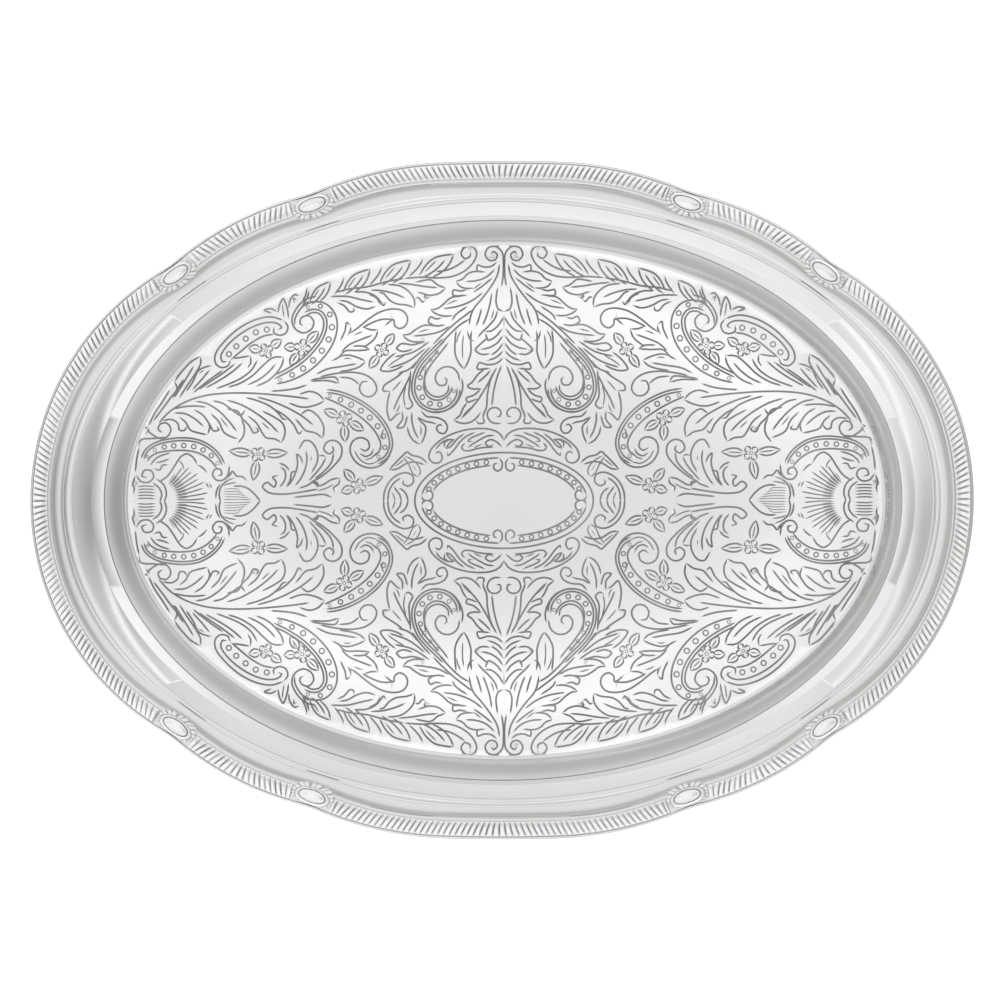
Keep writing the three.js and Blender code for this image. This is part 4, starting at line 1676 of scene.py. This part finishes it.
    def paint_crease_shade(self, pan: bpy.types.Object) -> None:
        """Paints shade into the crease at the wall's top: its faces get the second, darker finish."""
        reach = 0.01
        wall_top = self.plan.wall
        crease_floor = self.flange_low - 0.5
        for face in pan.data.polygons:
            spots = [pan.data.vertices[index].co for index in face.vertices]
            insets = [self.plan.half_width - math.hypot(spot.x, spot.y) / MM for spot in spots]
            in_shaded_crease = wall_top - reach < min(insets) and max(insets) < wall_top + self.crease_width + reach
            if in_shaded_crease and min(spot.z for spot in spots) / MM > crease_floor:
                # Painted shade: the crease faces take the dark cut finish.
                face.material_index = 1

    def bend_to_plan(self, pan: bpy.types.Object) -> None:
        """Moves every vertex of the spun pan to its place on the lobed plan."""
        rim = 4 * self.plan.quarter
        at_middle = 0.01 * MM
        places: dict[tuple[int, int], Vector] = {}
        for vertex in pan.data.vertices:
            radius = math.hypot(vertex.co.x, vertex.co.y)
            if radius < at_middle:
                vertex.co.x = vertex.co.y = 0.0
                continue
            turn = math.atan2(vertex.co.y, vertex.co.x) % math.tau
            station = round(turn / math.tau * self.stations) % self.stations
            inset = self.plan.half_width - radius / MM
            key = (station, round(inset * 1000))
            if key not in places:
                places[key] = self.plan.at(rim * station / self.stations, key[1] / 1000)
            vertex.co.x, vertex.co.y = places[key].x * MM, places[key].y * MM

    def engraved_floor(
        self, ornament: Engraver, plate: bpy.types.Material, cut: bpy.types.Material
    ) -> bpy.types.Object:
        """Makes the floor's upper face: one worked quarter, mirrored to the other three.

        Args:
            ornament: The engraving of a quarter.
            plate: The finish of the sheet.
            cut: The finish inside the cuts, its darker colour painted shade.

        Returns:
            The face, with its cuts in the second material slot.
        """
        quarter = self.stations // 4
        step = self.plan.quarter / quarter
        boundary = [self.plan.at(step * i, self.plan.floor) for i in range(quarter + 1)]
        boundary[0].y = boundary[-1].x = 0.0
        vertices, triangles, cut_in = ornament.sheet(boundary)
        log.info("engraving: %d cuts, %d triangles in a quarter", len(ornament.cuts), len(triangles))
        places, faces, marks = [], [], []
        for mirror_x, mirror_y in ((1, 1), (-1, 1), (-1, -1), (1, -1)):
            base = len(places) * len(vertices)
            height = self.sheet - vertices[:, 2]
            x, y = vertices[:, 0] * mirror_x, vertices[:, 1] * mirror_y
            places.append(np.column_stack([x, y, height]) * MM)
            turned = triangles if mirror_x * mirror_y > 0 else triangles[:, ::-1]
            faces.append(turned + base)
            marks.append(cut_in)
        mesh = bpy.data.meshes.new("floor")
        mesh.from_pydata(np.vstack(places).tolist(), [], np.vstack(faces).tolist())
        mesh.materials.append(plate)
        mesh.materials.append(cut)
        # Painted shade: faces inside the cuts take the darker cut finish.
        mesh.polygons.foreach_set("material_index", np.concatenate(marks).astype(np.int32))
        mesh.update()
        floor = bpy.data.objects.new("floor", mesh)
        bpy.context.scene.collection.objects.link(floor)
        return floor


@dataclass
class BorderStrip:
    """One strip of slanting lobes, laid on the seat between two clasps."""

    plan: RimPlan
    name: str
    start: float
    end: float
    seat: float
    gap: float = 0.3
    pitch: float = 3.0
    per_lobe: int = 12
    outer: float = 2.2
    inner: float = 9.2
    lobe_start: float = 2.35
    lobe_end: float = 9.0
    lobe_depth: float = 1.25
    # How low in the wave a face must lie to get the painted groove shade.
    groove: float = 0.46
    slant: float = 3.4
    turn_over: float = 9.0
    end_fade: float = 6.0
    lobe_fade: float = 4.5
    lobe_fullness: float = 0.8
    crease: float = 40.0

    def profile(self) -> list[Point]:
        """The strip's closed section as (inset, height) points, from its outer foot over the crown."""
        base = self.seat + self.gap
        heights = (
            (0.0, 1.1), (0.14, 1.75), (0.45, 2.2), (0.85, 2.5), (1.35, 2.78), (1.9, 3.02), (2.5, 3.17),
            (3.1, 3.2), (3.7, 3.12), (4.3, 2.92), (4.85, 2.62), (5.35, 2.24), (5.8, 1.82), (6.2, 1.42),
            (6.55, 1.12), (6.8, 0.98), (7.0, 0.8),
        )
        top = [(self.outer, base), *((self.outer + across, self.seat + up) for across, up in heights)]
        return [*top, (self.inner, base), (self.outer, base)]

    def wave(self, from_middle: float) -> float:
        """How high the lobes stand at a distance from the strip's middle, from 0 in a groove to 1."""
        return abs(math.sin(math.pi * from_middle / self.pitch))

    def paint_groove_shade(self, strip: bpy.types.Object, columns: int, profile: Sequence[Point]) -> None:
        """Paints shade into the grooves between the lobes: their faces get the second, darker finish.

        Args:
            strip: The bent grid.
            columns: How many columns it has.
            profile: The strip's section.
        """
        length = self.end - self.start
        for face in strip.data.polygons:
            column = min(index % (columns + 1) for index in face.vertices) + 0.5
            row = min(index // (columns + 1) for index in face.vertices)
            inset = (profile[row][0] + profile[row + 1][0]) / 2
            # Painted shade: faces low in a groove take the darker hollow finish.
            if self.wave(length * (column / columns - 0.5)) < self.groove:
                face.material_index = int(self.lobe_start < inset < self.lobe_end)

    def place(self, column: float, row: float, columns: int, profile: Sequence[Point]) -> Place:
        """Finds a place on the strip.

        Args:
            column: Along it.
            row: Round its section.
            columns: How many columns there are.
            profile: Its section.

        Returns:
            The place in metres.
        """
        inset, height = profile[int(row)]
        middle = (self.start + self.end) / 2
        along = self.start + (self.end - self.start) * column / columns
        from_middle = along - middle
        wave = self.wave(from_middle)
        inside = (inset - self.lobe_start) / (self.lobe_end - self.lobe_start)
        if 0.0 < inside < 1.0:
            fade = min(1.0, inside * self.lobe_fade, (1 - inside) * self.lobe_fade)
            height -= self.lobe_depth * fade * (1 - wave**self.lobe_fullness)
        lean = math.tanh(from_middle / self.turn_over) * self.slant
        to_end = min(column, columns - column) / columns * (self.end - self.start)
        lean *= min(1.0, to_end / self.end_fade)
        across = (inset - (self.outer + self.inner) / 2) / (self.inner - self.outer)
        spot = self.plan.at(along - lean * across, inset)
        return spot.x * MM, spot.y * MM, height * MM

    def build(self, *materials: bpy.types.Material) -> bpy.types.Object:
        """Bends a grid round the section and along the rim, and closes its ends.

        Args:
            *materials: The finish of its lobes and the darker one in its grooves, which is painted shade.

        Returns:
            The strip.
        """
        profile = self.profile()
        columns = round((self.end - self.start) / self.pitch) * self.per_lobe
        strip = new_grid(
            self.name, columns, len(profile) - 1, lambda i, j: self.place(i, j, columns, profile)
        )
        for material in materials:
            strip.data.materials.append(material)
        self.paint_groove_shade(strip, columns, profile)
        close_up(strip, fill=True)
        smooth(strip, self.crease)
        return strip


@dataclass
class Clasp:
    """A leaf mount with an oval boss in a rolled frame, over the joint of two strips."""

    plan: RimPlan
    base: float
    length: float = 21.4
    middle: float = 6.9
    outer_reach: float = 4.7
    inner_reach: float = 7.2
    height: float = 3.4
    edge: float = 0.7
    leaves: int = 5
    notch: float = 0.16
    rings: int = 40
    spokes: int = 160
    boss: tuple[float, float] = (6.3, 3.0)
    boss_middle: float = -0.3
    crown: float = 1.2
    fullness: float = 2.6
    boss_foot: float = 0.25
    boss_height: float = 1.15
    boss_share: float = 0.86
    frame_middle: float = 1.22
    frame_width: float = 0.17
    frame_height: float = 0.75
    groove_middle: float = 1.04
    groove_width: float = 0.05
    groove_depth: float = 0.35
    leaf_start: float = 1.42
    leaf_fade: float = 0.25
    crease: float = 50.0

    def spread(self, turn: float) -> float:
        """How far its outline reaches in a direction, as a share of its reach."""
        squareness = 2.6
        across, along = abs(math.sin(turn)), abs(math.cos(turn))
        oblong = (across**squareness + along**squareness) ** (-1 / squareness)
        inner_side = max(math.sin(turn), 0.0)
        between = (1 - abs(math.sin(self.leaves * turn))) ** 1.5
        return oblong * (1 - self.notch * between * inner_side)

    def relief(self, along: float, across: float, reach: float, turn: float) -> float:
        """Finds the height of its upper face.

        Args:
            along: Millimetres along the rim from its middle.
            across: Millimetres inwards from its middle.
            reach: How far out the place is, as a share of the outline.
            turn: The place's direction from the middle.

        Returns:
            The height above its flat back, in millimetres.
        """
        body = self.edge + self.crown * (1 - reach**self.fullness)
        half_x, half_y = self.boss
        oval = math.hypot(along / half_x, (across - self.boss_middle) / half_y)
        if oval < 1.0:
            return body + self.boss_foot + self.boss_height * math.sqrt(1 - self.boss_share * oval**2)
        frame = (oval - self.frame_middle) / self.frame_width
        rise = self.frame_height * math.exp(-frame * frame)
        groove = -self.groove_depth * math.exp(-(((oval - self.groove_middle) / self.groove_width) ** 2))
        leafy = min(max((oval - self.leaf_start) / self.leaf_fade, 0.0), 1.0)
        ribs = abs(math.sin(self.leaves * turn)) ** 0.7
        vein = abs(math.sin(2 * self.leaves * turn)) ** 0.6
        leaf = leafy * (0.55 * ribs + 0.22 * vein - 0.35) * min(1.0, (1.0 - reach) * 9 + 0.25)
        bulge = 0.3 * leafy * math.sin(math.pi * min(reach, 1.0))
        return body + rise + groove + leaf + bulge

    def painted_shade_at(self, spot: Vector) -> bool:
        """Whether a place, in metres from the middle, lies beside the boss, outside its frame or between two
        leaves, where shade is painted with the darker finish.
        """
        along, across = spot.x / MM, spot.y / MM
        half_x, half_y = self.boss
        oval = math.hypot(along / half_x, (across - self.boss_middle) / half_y)
        reach = self.inner_reach if across > 0 else self.outer_reach
        turn = math.atan2(across / reach, along * 2 / self.length)
        beside_boss = 0.97 < oval < 1.1
        outside_frame = 1.38 < oval < 1.5
        between = abs(math.sin(self.leaves * turn)) < 0.26 or abs(math.sin(2 * self.leaves * turn)) < 0.2
        return beside_boss or outside_frame or (between and oval > 1.5)

    def build(self, *materials: bpy.types.Material) -> bpy.types.Object:
        """Shapes a disc into the mount, lying flat at the origin with +X along the rim.

        Args:
            *materials: The finish of its face and the darker one in its hollows, which is painted shade.

        Returns:
            The mount as a model to copy.
        """
        start_clean()
        bpy.ops.mesh.primitive_circle_add(vertices=self.spokes, radius=1.0, fill_type="NGON")
        mount = bpy.context.object
        edit(mount)
        bpy.ops.mesh.extrude_region_move(TRANSFORM_OT_translate={"value": (0, 0, 1)})
        for ring in range(self.rings, 1, -1):
            scale = (ring - 1) / ring
            bpy.ops.mesh.inset(thickness=0.0, use_even_offset=False)
            bpy.ops.transform.resize(value=(scale, scale, 1), center_override=(0, 0, 1))
        bpy.ops.mesh.poke()
        leave()
        for vertex in mount.data.vertices:
            self.shape(vertex)
        for material in materials:
            mount.data.materials.append(material)
        for face in mount.data.polygons:
            # Painted shade: faces in the clasp's hollows take the darker finish.
            face.material_index = int(face.center.z > self.edge * MM * 0.5 and self.painted_shade_at(face.center))
        close_up(mount, fill=False)
        smooth(mount, self.crease)
        return mount

    def shape(self, vertex: bpy.types.MeshVertex) -> None:
        """Moves a vertex of the plain disc to its place on the mount."""
        reach = min(math.hypot(vertex.co.x, vertex.co.y), 1.0)
        turn = math.atan2(vertex.co.y, vertex.co.x)
        spread = self.spread(turn)
        across_reach = self.inner_reach if vertex.co.y > 0 else self.outer_reach
        along = vertex.co.x * spread * self.length / 2
        across = vertex.co.y * spread * across_reach
        top = vertex.co.z > 0.5
        height = min(self.relief(along, across, reach, turn), self.height) if top else 0.0
        vertex.co = (along * MM, across * MM, height * MM)

    def copy_to(self, mount: bpy.types.Object, name: str, place: float) -> bpy.types.Object:
        """Copies the mount, with its own mesh, and bends the copy to the rim.

        Args:
            mount: The mount at the origin.
            name: The copy's name.
            place: The distance along the rim of its middle.

        Returns:
            The copy.
        """
        start_clean()
        mount.select_set(True)
        bpy.context.view_layer.objects.active = mount
        bpy.ops.object.duplicate(linked=False)
        clasp = bpy.context.object
        clasp.name = clasp.data.name = name
        for vertex in clasp.data.vertices:
            spot = self.plan.at(place + vertex.co.x / MM, self.middle + vertex.co.y / MM)
            vertex.co = (spot.x * MM, spot.y * MM, vertex.co.z + self.base * MM)
        edit(clasp)
        bpy.ops.mesh.normals_make_consistent(inside=False)
        leave()
        return clasp


# ------------------------------------------------------------------------------------ the studio


@dataclass
class Studio:
    """The table, the lights and the camera."""

    aim: Place
    lean_x: float = 0.135
    lean_y: float = -0.015
    distance: float = 7.0
    lens: float = 500.0
    sensor: float = 36.0
    far: float = 20.0
    table_size: float = 6.0
    zenith: float = 0.80
    shoulder: float = 0.76
    horizon: float = 0.46
    patches: tuple[tuple[Place, float, float], ...] = (
        ((0.34, 0.06, 0.94), 0.25, 0.66),
        ((-0.39, 0.09, 0.92), 0.11, 0.48),
        ((0.16, -0.20, 0.967), 0.12, 0.32),
        ((-0.12, 0.30, 0.946), 0.15, 0.28),
        ((0.95, 0.10, 0.20), 0.40, 0.28),
    )
    glare_height: float = 0.75
    glare_axes: tuple[float, float] = (0.161, 0.096)
    glare_width: float = 0.009
    glare_edge: float = 0.023
    glare_points: int = 96
    glare_strength: float = 1.22
    glare_ends: float = 0.72
    sun_power: float = 2.2
    sun_spread: float = math.radians(60)

    @property
    def towards_camera(self) -> Vector:
        """The direction from the tray to the camera."""
        return Vector((self.lean_x, self.lean_y, math.sqrt(1 - self.lean_x**2 - self.lean_y**2)))

    def build(self) -> None:
        """Sets up everything that isn't the tray."""
        self.camera()
        self.table()
        self.sky()
        self.glare_ring()
        self.lamps()

    def camera(self) -> None:
        """Hangs the camera over the tray, a little towards its right end."""
        lens = bpy.data.cameras.new("camera")
        lens.lens = self.lens
        lens.sensor_width = self.sensor
        lens.clip_end = self.far
        camera = bpy.data.objects.new("camera", lens)
        bpy.context.scene.collection.objects.link(camera)
        back = self.towards_camera
        right = Vector((0.0, 1.0, 0.0)).cross(back).normalized()
        up = back.cross(right)
        camera.location = Vector(self.aim) + back * self.distance
        turned = [[right[i], up[i], back[i]] for i in range(3)]
        camera.rotation_euler = Matrix(turned).to_euler()
        bpy.context.scene.camera = camera

    def table(self) -> None:
        """Lays the pale table under the tray."""
        start_clean()
        bpy.ops.mesh.primitive_plane_add(size=self.table_size)
        table = bpy.context.object
        table.name = "table"
        edit(table)
        bpy.ops.mesh.subdivide(number_cuts=3)
        leave()
        table.data.materials.append(TableFinish().material())

    def sky(self) -> None:
        """Gives the room its soft light: bright overhead and darker towards the horizon."""
        world = bpy.data.worlds.new("room")
        world.use_nodes = True
        tree = world.node_tree
        background = tree.nodes["Background"]
        place = add_node(tree, "ShaderNodeTexCoord", {}, {}, "Generated")
        height = add_node(tree, "ShaderNodeSeparateXYZ", {}, {"Vector": place}, "Z")
        stops = [
            (0.0, (self.horizon,) * 3), (0.25, (self.horizon * 1.1,) * 3), (0.55, (self.shoulder,) * 3),
            (0.85, (self.zenith,) * 3),
        ]
        light = add_node(tree, "ShaderNodeValToRGB", {"stops": stops}, {"Fac": height})
        soft = 0.6
        for middle, reach, depth in self.patches:
            distance = {"operation": "DISTANCE"}
            away = add_node(tree, "ShaderNodeVectorMath", distance, {0: place, 1: middle}, "Value")
            fades = [(reach * (1 - soft), (1 - depth,) * 3), (reach * (1 + soft), (1.0,) * 3)]
            fade = add_node(tree, "ShaderNodeValToRGB", {"stops": fades}, {"Fac": away})
            light = light * fade
        tree.links.new(light.socket, background.inputs["Color"])
        background.inputs["Strength"].default_value = 1.0
        bpy.context.scene.world = world

    def glare_ring(self) -> None:
        """Hangs the oval light that the floor mirrors as a bright ring."""
        start_clean()
        bpy.ops.mesh.primitive_circle_add(vertices=self.glare_points, radius=1.0, fill_type="NOTHING")
        ring = bpy.context.object
        ring.name = "ring_light"
        edges = (-self.glare_edge, -self.glare_width, self.glare_width, self.glare_edge)
        edit(ring)
        for _ in edges[1:]:
            bpy.ops.mesh.extrude_edges_move()
        leave()
        glow = ring.data.attributes.new("glow", "FLOAT", "POINT")
        magnify = 1 + self.glare_height / self.distance
        back = self.towards_camera
        middle_x = -self.glare_height * back.x / back.z
        middle_y = -self.glare_height * back.y / back.z
        for i, vertex in enumerate(ring.data.vertices):
            turn = math.atan2(vertex.co.y, vertex.co.x)
            side = edges[i // self.glare_points]
            glow.data[i].value = 0.0 if abs(side) > self.glare_width else 1.0
            x = (self.glare_axes[0] + side) * magnify * math.cos(turn) + middle_x
            y = (self.glare_axes[1] + side) * magnify * math.sin(turn) + middle_y
            vertex.co = (x, y, self.glare_height)
        material, tree, shader = new_material("ring_light")
        shader.inputs["Base Color"].default_value = (0, 0, 0, 1)
        place = add_node(tree, "ShaderNodeTexCoord", {}, {}, "Object")
        side = add_node(tree, "ShaderNodeSeparateXYZ", {}, {"Vector": place}, "Y")
        middle_share = 0.5
        reach = self.glare_axes[1] * magnify
        share = (side - middle_y) * (middle_share / reach) + middle_share
        stops = [(0.18, (1.0,) * 3), (0.5, (self.glare_ends,) * 3), (0.82, (1.0,) * 3)]
        color = add_node(tree, "ShaderNodeValToRGB", {"stops": stops}, {"Fac": share})
        tree.links.new(color.socket, shader.inputs["Emission Color"])
        shader.inputs["Emission Strength"].default_value = self.glare_strength
        clear = add_node(tree, "ShaderNodeBsdfTransparent", {}, {}, "BSDF")
        fade = add_node(tree, "ShaderNodeAttribute", {"attribute_name": "glow"}, {}, "Fac")
        lit = {0: fade, 1: clear, 2: Wire(tree, shader.outputs["BSDF"])}
        mixed = add_node(tree, "ShaderNodeMixShader", {}, lit, "Shader")
        tree.links.new(mixed.socket, tree.nodes["Material Output"].inputs["Surface"])
        ring.data.materials.append(material)
        ring.visible_camera = False
        ring.visible_shadow = False
        ring.visible_diffuse = False

    def lamps(self) -> None:
        """Adds the overhead light that whitens the table."""
        sun = bpy.data.lights.new("overhead", "SUN")
        sun.energy = self.sun_power
        sun.angle = self.sun_spread
        lamp = bpy.data.objects.new("overhead", sun)
        lamp.visible_glossy = False
        bpy.context.scene.collection.objects.link(lamp)


# ---------------------------------------------------------------------------------------- main


CLASP_NAMES = (
    "right_back", "back_right", "back_left", "left_back", "left_front", "front_left", "front_right",
    "right_front",
)
STRIP_NAMES = (
    "corner_back_right", "back", "corner_back_left", "left", "corner_front_left", "front",
    "corner_front_right", "right",
)


def main() -> None:
    """Builds the tray to the size of the CAD pan, then the studio; each piece's face count goes to the log.
    """
    logging.basicConfig(level=logging.INFO, format="%(name)s %(message)s")
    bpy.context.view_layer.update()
    low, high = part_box("tray_pan")
    plan = RimPlan((high.x - low.x) / 2 / MM, (high.y - low.y) / 2 / MM)

    pan_plate = PlateFinish("pan_plate").material()
    # The cut finish darkens the engraved cuts and the wall-top crease with painted shade.
    cut = CutFinishWithPaintedShade().material()
    cast_tint = (0.98, 0.98, 0.975)
    border_plate = PlateFinish("border_plate", cast_tint, roughness=0.26, haze=0.06, metallic=0.6).material()
    clasp_plate = PlateFinish("clasp_plate", cast_tint, roughness=0.24, haze=0.06, metallic=0.8).material()
    # The darker hollow finish paints shade into the strip grooves and the clasp hollows.
    hollow = CutFinishWithPaintedShade("cast_hollow_painted_shade", (0.60, 0.60, 0.59), (0.78, 0.78, 0.77)).material()

    pan_maker = Pan(plan)
    ornament = FloorOrnament(plan.half_length - plan.floor - plan.floor_extra, plan.half_width - plan.floor)
    pan = pan_maker.build(ornament.engraver, pan_plate, cut)
    hand_over(pan, ["tray_pan"])

    clasp_maker = Clasp(plan, base=pan_maker.seat + pan_maker.bead_height + 0.3)
    mount = clasp_maker.build(clasp_plate, hollow)
    places = clasp_maker.plan.clasp_places()
    for i, place in enumerate(places):
        following = places[i + 1] if i + 1 < len(places) else places[0] + 4 * plan.quarter
        edge_gap = clasp_maker.length / 2 + 0.3
        name = STRIP_NAMES[i]
        strip = BorderStrip(plan, f"strip_{name}", place + edge_gap, following - edge_gap, pan_maker.seat)
        hand_over(strip.build(border_plate, hollow), [f"border_{name}"])
        clasp = clasp_maker.copy_to(mount, f"mount_{CLASP_NAMES[i]}", place)
        hand_over(clasp, [f"clasp_{CLASP_NAMES[i]}"])
    bpy.data.objects.remove(mount)

    Studio(aim=(0.0001, 0.0, 0.0165)).build()
    bpy.context.scene.view_settings.view_transform = "Standard"


if __name__ == "__main__":
    main()
